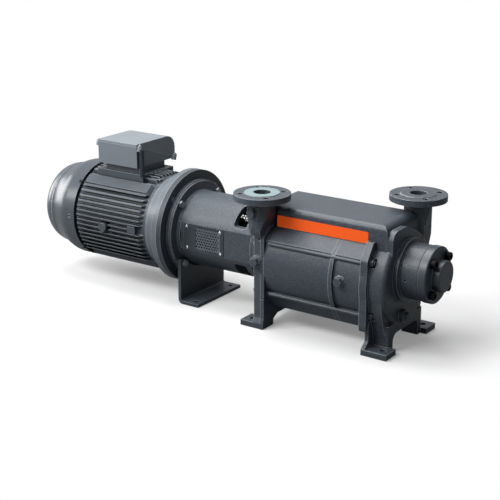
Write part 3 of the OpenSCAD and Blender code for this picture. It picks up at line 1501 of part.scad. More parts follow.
function cowl_line(in) = concat(
  [[cowl_r - in, frame_end_x + cowl_overlap]],
  [for (i = [0:cowl_steps]) [cowl_r - in - (cowl_r - cowl_rear_r) * ease(i / cowl_steps),
    frame_end_x - cowl_straight - (cowl_shoulder * i) / cowl_steps]],
  [for (i = [0:cowl_steps]) [cowl_rear_r - cowl_edge_r + (cowl_edge_r - in) * cos(90 * i / cowl_steps),
    frame_end_x - cowl_l + cowl_edge_r - (cowl_edge_r - in) * sin(90 * i / cowl_steps)]]);
function reversed(p) = [for (i = [len(p) - 1:-1:0]) p[i]];
module fan_cowl() {
  rear_x = frame_end_x - cowl_l;
  color("#596067") difference() {
    x_turned(concat(cowl_line(0), [[0, rear_x], [0, rear_x + cowl_t]], reversed(cowl_line(cowl_t))));
    x_prism(rear_x - cut, rear_x + cowl_t + cut) translate([0, shaft_h])
      for (i = [-grille_span:grille_span], j = [-grille_span:grille_span])
        if (norm([i, j]) * grille_pitch < grille_r)
          translate([i * grille_pitch, j * grille_pitch]) circle(d = grille_hole_d);
    for (a = [0:90:270]) translate([0, 0, shaft_h]) rotate([a, 0, 0])
      translate([frame_end_x - cowl_straight / 2, -slot_w / 2, cowl_r - 2 * cowl_t])
        cube([slot_w, slot_l, 4 * cowl_t]);
    cowl_screw_holes();
  }
}
module cowl_screw_places() {
  for (a = [45:90:315]) translate([0, 0, shaft_h]) rotate([a, 0, 0])
    translate([frame_end_x + cowl_overlap / 2, 0, 0]) children();
}
module cowl_screw_holes() {
  cowl_screw_places() translate([0, 0, cowl_screw_foot_r - seat_gap])
    cylinder(h = cowl_r - cowl_screw_foot_r + cut, r = cowl_screw_r + bolt_gap);
}
module cowl_screws() {
  color("#2b2f33") cowl_screw_places() {
    translate([0, 0, cowl_screw_foot_r]) cylinder(h = cowl_r - cowl_screw_foot_r, r = cowl_screw_r);
    translate([0, 0, cowl_r]) cylinder(h = cowl_head_h, r = cowl_head_r);
  }
}

// Terminal box
box_in = 75;
box_x = frame_x - box_in - box_l;
box_floor_z = shaft_h + box_rise;
box_top_z = box_floor_z + box_h;
split_drop = 8;
split_rise = 3;
split_front_z = box_top_z - split_drop;
split_back_z = box_floor_z + split_rise;
box_back_r = 40;
box_corner_r = 8;
neck_half_w = 62;
box_neck_inset = 10;
ear_r = 8;
ear_out = 5;
ear_h = 12;
lid_ear_h = 7;
ear_inset = 10;
box_screw_r = 3;
box_head_r = 5;
box_head_h = 3.5;
split_tilt = atan2(split_front_z - split_back_z, box_front + box_back);
function split_z(y) = split_front_z + (split_back_z - split_front_z) * (y + box_front) / (box_front + box_back);
module box_side(in) {
  polygon(rounded([[-box_front + in, box_floor_z + in], [-box_front + in, split_z(-box_front)],
    [box_back - in, split_z(box_back)], [box_back - in, box_floor_z + in, box_corner_r / 4]]));
}
module lid_side(in) {
  polygon(rounded([[-box_front + in, split_z(-box_front)], [-box_front + in, box_top_z - in, box_corner_r / 4],
    [box_back - in, box_top_z - in, box_back_r - in], [box_back - in, split_z(box_back)]]));
}
module ear_places() {
  for (x = [box_x - ear_out, box_x + box_l + ear_out], y = [-box_front + ear_inset, box_back - ear_inset])
    translate([x, y, split_z(y)]) rotate([-split_tilt, 0, 0]) children();
}
module terminal_box() {
  color("#565d64") difference() {
    union() {
      x_prism(box_x, box_x + box_l) box_side(0);
      ear_places() translate([0, 0, -ear_h]) cylinder(h = ear_h, r = ear_r);
      translate([box_x + box_neck_inset, -neck_half_w, shaft_h + pad_rise])
        cube([box_l - 2 * box_neck_inset, 2 * neck_half_w, box_rise - pad_rise + cut]);
    }
    x_prism(box_x + box_wall, box_x + box_l - box_wall) box_side(box_wall);
    translate([box_x + 2 * box_neck_inset, -neck_half_w + box_neck_inset, shaft_h + pad_rise - cut])
      cube([box_l - 4 * box_neck_inset, 2 * (neck_half_w - box_neck_inset), box_rise - pad_rise + box_wall + 2 * cut]);
    ear_places() translate([0, 0, -ear_h - cut]) cylinder(h = ear_h + 2 * cut, r = box_screw_r + bolt_gap);
    for (y = entry_places) translate([box_x - cut, y, box_floor_z + entry_rise]) rotate([0, 90, 0])
      cylinder(h = box_wall + 2 * cut, r = entry_r + bolt_gap);
  }
}
module terminal_box_lid() {
  color("#565d64") difference() {
    union() {
      x_prism(box_x, box_x + box_l) lid_side(0);
      ear_places() cylinder(h = lid_ear_h, r = ear_r);
    }
    x_prism(box_x + box_wall, box_x + box_l - box_wall) lid_side(box_wall);
    ear_places() translate([0, 0, -cut]) cylinder(h = lid_ear_h + 2 * cut, r = box_screw_r + bolt_gap);
  }
}
block_l = 80;
block_w = 50;
block_t = 14;
stud_r = 3;
stud_h = 16;
module terminal_block() {
  block_x = box_x + (box_l - block_l) / 2;
  block_z = shaft_h + pad_rise;
  color("#23262a") {
    translate([block_x, -block_w / 2, block_z]) cube([block_l, block_w, block_t]);
    for (i = [-1:1], j = [-1, 1])
      translate([box_x + box_l / 2 + i * block_l / 3, j * block_w / 4, block_z + block_t - cut])
        cylinder(h = stud_h, r = stud_r);
  }
}
module terminal_box_screws() {
  color("#c4c8cb") ear_places() {
    translate([0, 0, -ear_h + cut]) cylinder(h = ear_h + lid_ear_h - cut, r = box_screw_r);
    translate([0, 0, lid_ear_h]) cylinder(h = box_head_h, r = box_head_r);
  }
}
entry_r = 13;
entry_rise = 20;
entry_places = [-52, -10];
entry_head_r = 17;
entry_head_h = 8;
module cable_entry_plugs() {
  color("#1f2225") for (y = entry_places) translate([box_x, y, box_floor_z + entry_rise]) rotate([0, 90, 0]) {
    cylinder(h = box_wall, r = entry_r);
    translate([0, 0, -entry_head_h]) cylinder(h = entry_head_h, r = entry_head_r, $fn = 6);
  }
}

drive_end_casing();
far_end_casing();
stage_casing_1();
stage_casing_2();
mid_plate();
port_plate_1();
port_plate_2();
impeller_1();
impeller_2();
pump_shaft();
pump_key();
seal_seats();
seal_rings();
bearing_outer_rings();
pump_bearing_inner_rings();
pump_bearing_balls();
pump_bearing_housing();
bearing_housing_screws();
shaft_nut();
cover_seal_ring();
end_cover();
cover_screws();
top_chamber();
name_strip();
tie_rods();
tie_rod_nuts();
pipe_plugs();
lantern();
lantern_screws();
adapter_ring();
lantern_bolts();
guard_plates();
guard_screws();
support_bracket();
coupling_motor_hub();
coupling_pump_hub();
coupling_spider();
motor_flange_shield();
motor_flange_bolts();
motor_frame();
motor_rear_shield();
stator_core();
stator_windings();
rotor_core();
motor_shaft();
motor_key();
motor_bearing_inner_rings();
motor_bearing_balls();
fan();
fan_cowl();
cowl_screws();
terminal_box();
terminal_box_lid();
terminal_block();
terminal_box_screws();
cable_entry_plugs();
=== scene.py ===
"""Finishes for a two-stage liquid ring vacuum pump on its flange motor."""

import math

import bmesh
import bpy
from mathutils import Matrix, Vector


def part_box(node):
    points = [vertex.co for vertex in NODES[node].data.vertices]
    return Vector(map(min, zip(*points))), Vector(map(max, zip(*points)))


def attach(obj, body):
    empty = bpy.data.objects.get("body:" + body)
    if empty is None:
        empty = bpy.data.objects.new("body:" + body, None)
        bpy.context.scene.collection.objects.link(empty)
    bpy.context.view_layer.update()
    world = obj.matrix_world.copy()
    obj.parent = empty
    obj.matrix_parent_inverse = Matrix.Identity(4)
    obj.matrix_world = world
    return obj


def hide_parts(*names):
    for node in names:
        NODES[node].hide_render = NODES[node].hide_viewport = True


bl_info = {
    "name": "Liquid ring pump finishes",
    "version": (1, 0, 0),
    "blender": (4, 5, 0),
    "location": "View3D > Sidebar > Pump",
    "description": "Paints and dresses a liquid ring vacuum pump and its motor",
    "category": "Object",
}

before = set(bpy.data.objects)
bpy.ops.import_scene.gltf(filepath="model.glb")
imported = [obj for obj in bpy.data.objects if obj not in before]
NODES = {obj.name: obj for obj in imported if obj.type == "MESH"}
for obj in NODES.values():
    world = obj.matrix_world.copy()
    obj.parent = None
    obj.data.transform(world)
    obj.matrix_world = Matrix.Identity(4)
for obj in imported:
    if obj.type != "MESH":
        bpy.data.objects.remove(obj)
STATIC = "pump_and_motor_body"
MM = 0.001
OVERRUN = 0.01                      # how far a cut runs past its piece
INLET = (-0.184, -0.122, 0.406)     # middle of the inlet's face; the outlet stands opposite
STAGE_AXIS = (0.0, 0.194)           # middle of the stage casings and the drum, as (y, z)
SHAFT_AXIS = (0.0, 0.220)

# Settings of nodes that many materials use
TIMES, PLUS, MINUS = ({"operation": name} for name in ("MULTIPLY", "ADD", "SUBTRACT"))
COLOURS = {"data_type": "RGBA"}
SAMPLES = {"samples": 6}
BANDS_X = {"wave_type": "BANDS", "bands_direction": "X"}
WAVE_BANDS = 6.28                   # about how many bands a wave texture of scale 1 has in a metre
WHITE = (1, 1, 1, 1)
GLOSSY_SHARE = 0.45                 # how much of the white surroundings a glossy face shows


# ---------------------------------------------------------------- colours and nodes
def linear(code):
    """An sRGB hex colour as linear values."""
    parts = [int(code[i:i + 2], 16) / 255 for i in (1, 3, 5)]
    return tuple(c / 12.92 if c <= 0.04045 else ((c + 0.055) / 1.055) ** 2.4 for c in parts) + (1.0,)


def per(size_mm):
    """The scale of a texture whose spots measure size_mm."""
    return 1.0 / (size_mm * MM)


def add(tree, kind, settings=None, **inputs):
    """Adds one node. An input goes by its label, or by its number as in i0, and is a value
    or the output socket of another node."""
    made = tree.nodes.new(kind)
    for key, value in (settings or {}).items():
        setattr(made, key, value)
    for key, value in inputs.items():
        numbered = key[0] == "i" and key[1:].isdigit()
        socket = made.inputs[int(key[1:]) if numbered else key.replace("_", " ")]
        if isinstance(value, bpy.types.NodeSocket):
            tree.links.new(value, socket)
        else:
            socket.default_value = value
    return made


def new_material(name):
    """An empty material, its node tree and its object coordinates, in metres."""
    made = bpy.data.materials.new(name)
    made.use_nodes = True
    made.node_tree.nodes.clear()
    return made, made.node_tree, add(made.node_tree, "ShaderNodeTexCoord").outputs["Object"]


def layered(tree, base, *layers):
    """Lays tones over a base. A layer is (mask, share, tone)."""
    for mask, share, tone in layers:
        amount = add(tree, "ShaderNodeMath", TIMES, i0=mask, i1=share).outputs[0]
        base = add(tree, "ShaderNodeMix", COLOURS, i0=amount, i6=base, i7=tone).outputs[2]
    return base


def edge_mask(tree, soft):
    """1 along the outer edges, where the soft normal leaves the face's own, and 0 on the faces."""
    face = add(tree, "ShaderNodeNewGeometry").outputs["Normal"]
    agree = add(tree, "ShaderNodeVectorMath", {"operation": "DOT_PRODUCT"}, i0=soft, i1=face).outputs["Value"]
    turned = add(tree, "ShaderNodeMath", {"operation": "SUBTRACT", "use_clamp": True}, i0=1.0, i1=agree).outputs[0]
    return add(tree, "ShaderNodeMapRange", Value=turned, From_Min=0.01, From_Max=0.1).outputs[0]


def painted_shade_mask(tree, reach_mm):
    """1 in corners and grooves, where shade falls, and 0 on open faces: the mask for painted shade."""
    shade = add(tree, "ShaderNodeAmbientOcclusion", SAMPLES, Distance=reach_mm * MM).outputs["AO"]
    return add(tree, "ShaderNodeMapRange", Value=shade, From_Min=0.75, From_Max=0.2).outputs[0]


# ---------------------------------------------------------------- surfaces
def painted(name, colour, lit, grain_mm, grain, rough, edge_mm, speck=0.1, coat=0.0, mask=None, edge_wear_and_highlight=0.9,
            painted_corner_shade=0.75):
    """Paint over metal. The skin of the metal keeps its grain through the paint. The paint is lighter in wide clouds
    and in specks, darkened in corners and grooves as painted shade, and pale along edges, partly as rubbed paint and
    partly as a painted highlight."""
    made, tree, spot = new_material(name)
    soft = add(tree, "ShaderNodeBevel", SAMPLES, Radius=edge_mm * MM).outputs["Normal"]
    cloud = add(tree, "ShaderNodeTexNoise", Vector=spot, Scale=per(70), Detail=4, Roughness=0.6).outputs["Fac"]
    fine = add(tree, "ShaderNodeTexNoise", Vector=spot, Scale=per(grain_mm), Detail=4, Roughness=0.62).outputs["Fac"]
    waves = add(tree, "ShaderNodeTexNoise", Vector=spot, Scale=per(9), Detail=2, Roughness=0.55).outputs["Fac"]
    peaks = add(tree, "ShaderNodeMapRange", Value=fine, From_Min=0.45, From_Max=0.62).outputs[0]
    tone = layered(tree, linear(colour),
                   (cloud, 0.55, linear(lit)),
                   (peaks, speck, linear("#68707a")),
                   # Painted shade: near black in corners and grooves, where shade falls
                   (painted_shade_mask(tree, 22), painted_corner_shade, linear("#14171a")),
                   # Pale edges: partly rubbed paint, partly a painted highlight along them
                   (edge_mask(tree, soft), edge_wear_and_highlight, linear("#b6bcc2")))
    dull = add(tree, "ShaderNodeMapRange", Value=fine, To_Min=rough - 0.06, To_Max=rough + 0.1).outputs[0]
    # The skin is about a third as deep as its grain is wide
    skin = add(tree, "ShaderNodeBump", Strength=grain, Distance=grain_mm * MM * 0.35, Height=fine, Normal=soft)
    face = add(tree, "ShaderNodeBump", Strength=0.25, Distance=0.6 * MM, Height=waves, Normal=skin.outputs[0])
    shader = add(tree, "ShaderNodeBsdfPrincipled", Base_Color=tone, Roughness=dull, IOR=1.5,
                 Normal=face.outputs[0], Coat_Weight=coat, Coat_Roughness=0.3).outputs[0]
    if mask:
        shader = mask(tree, shader, spot, soft)
    add(tree, "ShaderNodeOutputMaterial", Surface=shader)
    return made


def sealed_face(tree, paint, spot, soft):
    """The inlet's raised face keeps the pale skin that protects it on its way, smoother than the paint."""
    face_radius, depth = 50.8 * MM, 0.4 * MM
    xyz = add(tree, "ShaderNodeSeparateXYZ", Vector=spot)
    squares = []
    for axis in (0, 1):
        off = add(tree, "ShaderNodeMath", MINUS, i0=xyz.outputs[axis], i1=INLET[axis]).outputs[0]
        squares.append(add(tree, "ShaderNodeMath", TIMES, i0=off, i1=off).outputs[0])
    total = add(tree, "ShaderNodeMath", PLUS, i0=squares[0], i1=squares[1]).outputs[0]
    reach = add(tree, "ShaderNodeMath", {"operation": "SQRT"}, i0=total).outputs[0]
    near = add(tree, "ShaderNodeMath", {"operation": "LESS_THAN"}, i0=reach, i1=face_radius).outputs[0]
    high = add(tree, "ShaderNodeMath", {"operation": "GREATER_THAN"}, i0=xyz.outputs[2], i1=INLET[2] - depth)
    inside = add(tree, "ShaderNodeMath", TIMES, i0=near, i1=high.outputs[0]).outputs[0]
    cloud = add(tree, "ShaderNodeTexNoise", Vector=spot, Scale=per(6), Detail=3, Roughness=0.55).outputs["Fac"]
    tone = add(tree, "ShaderNodeMix", COLOURS, i0=cloud, i6=linear("#7b9196"), i7=linear("#95a9ad")).outputs[2]
    skin = add(tree, "ShaderNodeBsdfPrincipled", Base_Color=tone, Roughness=0.38, Normal=soft).outputs[0]
    return add(tree, "ShaderNodeMixShader", i0=inside, i1=paint, i2=skin).outputs[0]


def painted_highlight_webs(tree, paint, spot, soft):
    """Painted highlight: the webs between the guard's holes are all edge and catch the light, so the paint on them
    is drawn in a light grey.
    """
    low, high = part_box("guard_plates")
    field, right, rim = 100 * MM, 12.5 * MM, 8.5 * MM     # where the holes start and end in the guard
    xyz = add(tree, "ShaderNodeSeparateXYZ", Vector=spot)
    inside = 1.0
    for test, axis, limit in (("GREATER_THAN", "X", high.x - field), ("LESS_THAN", "X", high.x - right),
                              ("GREATER_THAN", "Z", low.z + rim), ("LESS_THAN", "Z", high.z - rim)):
        within = add(tree, "ShaderNodeMath", {"operation": test}, i0=xyz.outputs[axis], i1=limit).outputs[0]
        inside = add(tree, "ShaderNodeMath", TIMES, i0=inside, i1=within).outputs[0]
    # A light grey as painted highlight on the webs
    highlit_web_paint = add(tree, "ShaderNodeBsdfPrincipled", Base_Color=linear("#666d74"), Roughness=0.4, Normal=soft).outputs[0]
    return add(tree, "ShaderNodeMixShader", i0=inside, i1=paint, i2=highlit_web_paint).outputs[0]


def bare_metal(name, colour, rough, turned_mm=0.0, grain_mm=0.5, edge_mm=0.4):
    """Bare metal in faint clouds, with turning marks along the shaft where it was turned."""
    made, tree, spot = new_material(name)
    soft = add(tree, "ShaderNodeBevel", SAMPLES, Radius=edge_mm * MM).outputs["Normal"]
    fine = add(tree, "ShaderNodeTexNoise", Vector=spot, Scale=per(grain_mm), Detail=3, Roughness=0.55).outputs["Fac"]
    cloud = add(tree, "ShaderNodeTexNoise", Vector=spot, Scale=per(12), Detail=3, Roughness=0.55).outputs["Fac"]
    height = fine
    if turned_mm:
        height = add(tree, "ShaderNodeTexWave", BANDS_X, Vector=spot, Scale=per(turned_mm) / WAVE_BANDS,
                     Distortion=0.6, Detail=2).outputs["Fac"]
    tone = layered(tree, linear(colour), (cloud, 0.35, linear("#e4e6e8")))
    dull = add(tree, "ShaderNodeMapRange", Value=fine, To_Min=rough - 0.06, To_Max=rough + 0.08).outputs[0]
    bump = add(tree, "ShaderNodeBump", Strength=0.12, Distance=0.2 * MM, Height=height, Normal=soft)
    shader = add(tree, "ShaderNodeBsdfPrincipled", Base_Color=tone, Metallic=1.0, Roughness=dull,
                 Normal=bump.outputs[0]).outputs[0]
    add(tree, "ShaderNodeOutputMaterial", Surface=shader)
    return made


def moulded(name, colour, rough, grain_mm=0.6, grain=0.15, ior=1.5, edge_mm=0.6, variation=0.15):
    """A smooth dark or coloured skin with a fine grain, such as moulded plastic and rubber have."""
    made, tree, spot = new_material(name)
    soft = add(tree, "ShaderNodeBevel", SAMPLES, Radius=edge_mm * MM).outputs["Normal"]
    fine = add(tree, "ShaderNodeTexNoise", Vector=spot, Scale=per(grain_mm), Detail=3, Roughness=0.55).outputs["Fac"]
    cloud = add(tree, "ShaderNodeTexNoise", Vector=spot, Scale=per(25), Detail=3, Roughness=0.55).outputs["Fac"]
    tone = layered(tree, linear(colour), (cloud, variation, linear("#b8bcc0")))
    dull = add(tree, "ShaderNodeMapRange", Value=fine, To_Min=rough - 0.05, To_Max=rough + 0.08).outputs[0]
    bump = add(tree, "ShaderNodeBump", Strength=grain, Distance=0.2 * MM, Height=fine, Normal=soft)
    shader = add(tree, "ShaderNodeBsdfPrincipled", Base_Color=tone, IOR=ior, Roughness=dull,
                 Normal=bump.outputs[0]).outputs[0]
    add(tree, "ShaderNodeOutputMaterial", Surface=shader)
    return made


def laminated(name, colour):
    """Stacked core sheets, drawn 2 mm thick so that they show; the real ones are 0.5 mm."""
    made, tree, spot = new_material(name)
    sheets = add(tree, "ShaderNodeTexWave", BANDS_X, Vector=spot, Scale=per(2) / WAVE_BANDS).outputs["Fac"]
    tone = add(tree, "ShaderNodeMix", COLOURS, i0=sheets, i6=linear(colour), i7=linear("#9aa0a4")).outputs[2]
    bump = add(tree, "ShaderNodeBump", Strength=0.4, Distance=0.3 * MM, Height=sheets)
    shader = add(tree, "ShaderNodeBsdfPrincipled", Base_Color=tone, Metallic=0.8, Roughness=0.5,
                 Normal=bump.outputs[0]).outputs[0]
    add(tree, "ShaderNodeOutputMaterial", Surface=shader)
    return made


def wound(name):
    """Varnished copper wire of 1.6 mm, bundled round the bore and tied."""
    made, tree, spot = new_material(name)
    strands = add(tree, "ShaderNodeTexWave", {"wave_type": "RINGS", "rings_direction": "X"}, Vector=spot,
                  Scale=per(1.6) / WAVE_BANDS, Distortion=3.0, Detail=2).outputs["Fac"]
    tone = add(tree, "ShaderNodeMix", COLOURS, i0=strands, i6=linear("#7a3416"), i7=linear("#c9743a")).outputs[2]
    bump = add(tree, "ShaderNodeBump", Strength=0.6, Distance=0.8 * MM, Height=strands)
    shader = add(tree, "ShaderNodeBsdfPrincipled", Base_Color=tone, Roughness=0.3, Metallic=0.2,
                 Normal=bump.outputs[0]).outputs[0]
    add(tree, "ShaderNodeOutputMaterial", Surface=shader)
    return made


def film(name, colour):
    """Fluorescent vinyl film: smooth, faintly pulled along its length, and darker at its cut edge. It glows a little
    as painted light, since the film is no lamp."""
    made, tree, spot = new_material(name)
    soft = add(tree, "ShaderNodeBevel", SAMPLES, Radius=0.4 * MM).outputs["Normal"]
    along = add(tree, "ShaderNodeMapping", i0=spot, Scale=(6, 60, 60)).outputs[0]
    pull = add(tree, "ShaderNodeTexNoise", Vector=along, Scale=4, Detail=2).outputs["Fac"]
    tone = layered(tree, linear(colour), (pull, 0.25, linear("#ff7a2a")),
                   (edge_mask(tree, soft), 0.5, linear("#c23c00")))
    bump = add(tree, "ShaderNodeBump", Strength=0.05, Distance=0.3 * MM, Height=pull, Normal=soft)
    # Emission is painted light: the film glows a little though it is no lamp
    shader = add(tree, "ShaderNodeBsdfPrincipled", Base_Color=tone, Roughness=0.5, IOR=1.4,
                 Normal=bump.outputs[0], Emission_Color=tone, Emission_Strength=0.22).outputs[0]
    add(tree, "ShaderNodeOutputMaterial", Surface=shader)
    return made


def dress(material, *names):
    """Gives a finish to CAD nodes by their material slots."""
    for name in names:
        slots = NODES[name].data.materials
        slots.clear()
        slots.append(material)


# ---------------------------------------------------------------- settings
class PumpPaint(bpy.types.PropertyGroup):
    casting: bpy.props.StringProperty(
        name="Casting paint", default="#353d45",
        description="Slate grey enamel in the shade, as sRGB hex")
    casting_lit: bpy.props.StringProperty(
        name="Casting paint, lit", default="#4c545c",
        description="The same enamel where it is thin, as sRGB hex")
    motor: bpy.props.StringProperty(
        name="Motor paint", default="#3a4148",
        description="Grey enamel of the motor frame, as sRGB hex")
    strip: bpy.props.StringProperty(
        name="Strip", default="#fb5a17",
        description="Colour of the bare strip on the chamber, as sRGB hex")
    grain: bpy.props.FloatProperty(
        name="Cast grain", default=0.0034, min=0.0004, max=0.004, unit="LENGTH", precision=4,
        description="Size of the cast skin's grain, coarser than sand leaves it, so that it shows")
    edge: bpy.props.FloatProperty(
        name="Edge radius", default=0.0028, min=0.0002, max=0.005, unit="LENGTH", precision=4,
        description="Radius of a cast edge")
    chamber_reach: bpy.props.FloatProperty(
        name="Chamber reach", default=0.060, min=0.0, max=0.062, unit="LENGTH", precision=3,
        description="How far the chamber runs back behind the inlet")
    rail: bpy.props.FloatProperty(
        name="Rail radius", default=0.0058, min=0.004, max=0.007, unit="LENGTH", precision=4,
        description="Radius of the rails on the flanks")
    guard_pitch: bpy.props.FloatProperty(
        name="Guard pitch", default=0.0095, min=0.005, max=0.010, unit="LENGTH", precision=4,
        description="Distance between the guards' holes, a third coarser than usual so that they show")


class PumpStage(bpy.types.PropertyGroup):
    azimuth: bpy.props.FloatProperty(
        name="Azimuth", default=math.radians(34.77), subtype="ANGLE",
        description="Direction of the view, round the pump")
    elevation: bpy.props.FloatProperty(
        name="Elevation", default=math.radians(17.89), subtype="ANGLE",
        description="Height of the view above the horizon")
    place: bpy.props.FloatVectorProperty(
        name="Place", default=(1.6340, -2.8010, 1.2782), subtype="TRANSLATION", size=3,
        description="Where the camera stands")
    lens: bpy.props.FloatProperty(
        name="Lens", default=85.254, min=20, max=200,
        description="Focal length in millimetres on a 36 mm sensor")
    floor: bpy.props.StringProperty(
        name="Floor", default="#fbfbfb",
        description="Floor colour, as sRGB hex")


# ---------------------------------------------------------------- finishes of the CAD pieces
class PUMP_OT_castings(bpy.types.Operator):
    """Paints the pump's grey iron castings, which keep a sand-cast skin under satin enamel."""
    bl_idname = "pump.castings"
    bl_label = "Castings"

    def execute(self, context):
        paint = context.scene.pump_paint
        grain, edge = paint.grain / MM, paint.edge / MM
        # Satin enamel on sand-cast iron: a coarse skin that breaks the highlights, painted shade in corners, and
        # pale edges, partly rubbed paint and partly a painted highlight
        cast = painted("satin_enamel_on_sand_cast_iron", paint.casting, paint.casting_lit, grain, 0.8, 0.34, edge,
                       speck=0.5)
        dress(cast, "far_end_casing", "stage_casing_1", "stage_casing_2", "top_chamber", "lantern",
              "pump_bearing_housing", "mid_plate")
        # The same on the casting whose inlet face keeps a pale, smooth skin
        inlet = painted("satin_enamel_with_pale_inlet_face", paint.casting, paint.casting_lit, grain, 0.8, 0.34,
                        edge, speck=0.5, mask=sealed_face)
        dress(inlet, "drive_end_casing")
        # Darker enamel on the ring, which is cast separately, as painted shade: it reads as a dark band beside the
        # lantern
        ring = painted("enamel_with_painted_shade_on_adapter_ring", "#272d33", "#353c43", grain, 0.6, 0.4, edge, speck=0.3)
        dress(ring, "adapter_ring")
        # Satin enamel on turned iron: the same tone, but smooth, with narrow edges
        turned = painted("satin_enamel_on_turned_iron", paint.casting, paint.casting_lit, 0.8, 0.25, 0.36, 1.2,
                         speck=0.2)
        dress(turned, "end_cover")
        return {"FINISHED"}


class PUMP_OT_motor(bpy.types.Operator):
    """Paints the motor: a finned cast frame, machined shields and a pressed steel cowl."""
    bl_idname = "pump.motor"
    bl_label = "Motor"

    def execute(self, context):
        paint = context.scene.pump_paint
        # Enamel on a finned frame: fin tips pale with a painted highlight along their edges, and grooves darkened as
        # painted shade
        fins = painted("enamel_on_finned_cast_frame", paint.motor, "#545c64", 1.1, 0.4, 0.38, 1.4, speck=0.3,
                       edge_wear_and_highlight=1.0, painted_corner_shade=0.95)
        dress(fins, "motor_frame", "motor_rear_shield")
        # Enamel on a fine die casting: more even than the pump's sand skin, and painted lighter than the motor as a
        # painted sheen on the box's front
        box = painted("enamel_with_painted_sheen_on_terminal_box", "#6f767d", "#828990", 0.9, 0.25, 0.38, 1.4, speck=0.2)
        dress(box, "terminal_box")
        # Enamel on a machined shield: painted light as a painted highlight, an even ring between dark neighbours,
        # with little painted shade in its pockets
        shield = painted("enamel_with_painted_highlight_on_shield", "#535b63", "#8b939a", 0.8, 0.3, 0.3, 1.4, speck=0.3,
                         edge_wear_and_highlight=1.0, painted_corner_shade=0.3)
        dress(shield, "motor_flange_shield")
        # Enamel on the cast lid: painted as the lightest face of the motor, a painted highlight, with wide soft
        # edges
        lid = painted("enamel_with_painted_highlight_on_lid", "#798087", "#90979e", 0.9, 0.3, 0.36, 1.8, speck=0.2, edge_wear_and_highlight=1.0)
        dress(lid, "terminal_box_lid")
        # Gloss enamel on pressed steel: no grain, slow waves of the sheet, and long clear highlights
        cowl = painted("gloss_enamel_on_pressed_steel", "#444b52", "#525960", 6.0, 0.06, 0.27, 0.8, speck=0.02,
                       coat=0.25)
        dress(cowl, "fan_cowl")
        return {"FINISHED"}


class PUMP_OT_sheet(bpy.types.Operator):
    """Finishes the bent bracket, the tie rods with their nuts and the plugs: painted rolled steel."""
    bl_idname = "pump.sheet"
    bl_label = "Bracket and rods"

    def execute(self, context):
        # Enamel on rolled plate: nearly smooth, with faint waves from the rolls
        plate = painted("enamel_on_rolled_plate", "#3c444c", "#535a62", 3.0, 0.12, 0.4, 1.0, speck=0.05)
        dress(plate, "support_bracket", "guard_plates", "tie_rods", "tie_rod_nuts", "pipe_plugs")
        return {"FINISHED"}


class PUMP_OT_fasteners(bpy.types.Operator):
    """Finishes the zinc plated and black oxide screws."""
    bl_idname = "pump.fasteners"
    bl_label = "Fasteners"

    def execute(self, context):
        # Zinc plate on steel: small bright points against the paint
        zinc = bare_metal("zinc_plated_steel", "#b9bec2", 0.28, grain_mm=0.8)
        dress(zinc, "guard_screws", "lantern_screws", "motor_flange_bolts")
        # Zinc plate gone dull: greyer, without clear highlights
        dull = bare_metal("dull_zinc_steel", "#7d8388", 0.42, grain_mm=0.8, edge_mm=0.6)
        dress(dull, "lantern_bolts", "terminal_box_screws")
        # Black oxide on steel: oily black with a narrow shine
        black = moulded("black_oxide_steel", "#060708", 0.28, grain_mm=0.5, grain=0.1, variation=0.0)
        dress(black, "cover_screws", "bearing_housing_screws", "cowl_screws")
        return {"FINISHED"}


class PUMP_OT_inside(bpy.types.Operator):
    """Finishes what turns and what seals inside the casings."""
    bl_idname = "pump.inside"
    bl_label = "Inner parts"

    def execute(self, context):
        # Turned stainless steel: bright, with fine marks round the shaft
        turned = bare_metal("turned_stainless_steel", "#aeb2b5", 0.25, turned_mm=0.8)
        dress(turned, "pump_shaft", "motor_shaft", "port_plate_1", "port_plate_2", "shaft_nut", "pump_key",
              "motor_key")
        # Polished bearing steel: close to a mirror
        polished = bare_metal("polished_bearing_steel", "#d0d3d5", 0.12, grain_mm=2.0)
        dress(polished, "bearing_outer_rings", "pump_bearing_inner_rings", "pump_bearing_balls",
              "motor_bearing_inner_rings", "motor_bearing_balls")
        # Sand-cast bronze: warm, dull and grainy
        dress(bare_metal("sand_cast_bronze", "#a9814a", 0.45, grain_mm=1.5, edge_mm=1.0), "impeller_1",
              "impeller_2")
        # Lapped carbon: brown black with a soft shine
        dress(moulded("carbon_seal_face", "#3a2f28", 0.3), "seal_seats")
        # Nitrile rubber: matt black
        dress(moulded("black_nitrile_rubber", "#0c0d0f", 0.6), "seal_rings", "cover_seal_ring")
        # Cast polyurethane: an even, waxy red
        dress(moulded("red_polyurethane", "#b12a17", 0.4, variation=0.05), "coupling_spider")
        # Turned grey iron: dark, with wider turning marks
        dress(bare_metal("turned_grey_iron", "#4a4e52", 0.45, turned_mm=1.0), "coupling_motor_hub",
              "coupling_pump_hub")
        # Core steel: thin stripes round the core
        dress(laminated("laminated_core_steel", "#5b6064"), "stator_core", "rotor_core")
        # Varnished copper: brown strands with a wet shine
        dress(wound("varnished_copper_windings"), "stator_windings")
        # Glass-filled nylon: black with a dull grain
        dress(moulded("black_glass_filled_nylon", "#15171a", 0.5), "fan", "terminal_block", "cable_entry_plugs")
        return {"FINISHED"}


class PUMP_OT_strip(bpy.types.Operator):
    """Finishes the bare orange strip on the top chamber."""
    bl_idname = "pump.strip"
    bl_label = "Strip"

    def execute(self, context):
        # Fluorescent vinyl film: the one strong colour, brighter than paint in the same light through a faint
        # painted glow
        dress(film("orange_vinyl_film_with_painted_glow", context.scene.pump_paint.strip), "name_strip")
        return {"FINISHED"}


# ---------------------------------------------------------------- shapes
def linked(name, mesh):
    """A new object of the scene with that mesh."""
    made = bpy.data.objects.new(name, mesh)
    bpy.context.scene.collection.objects.link(made)
    return made


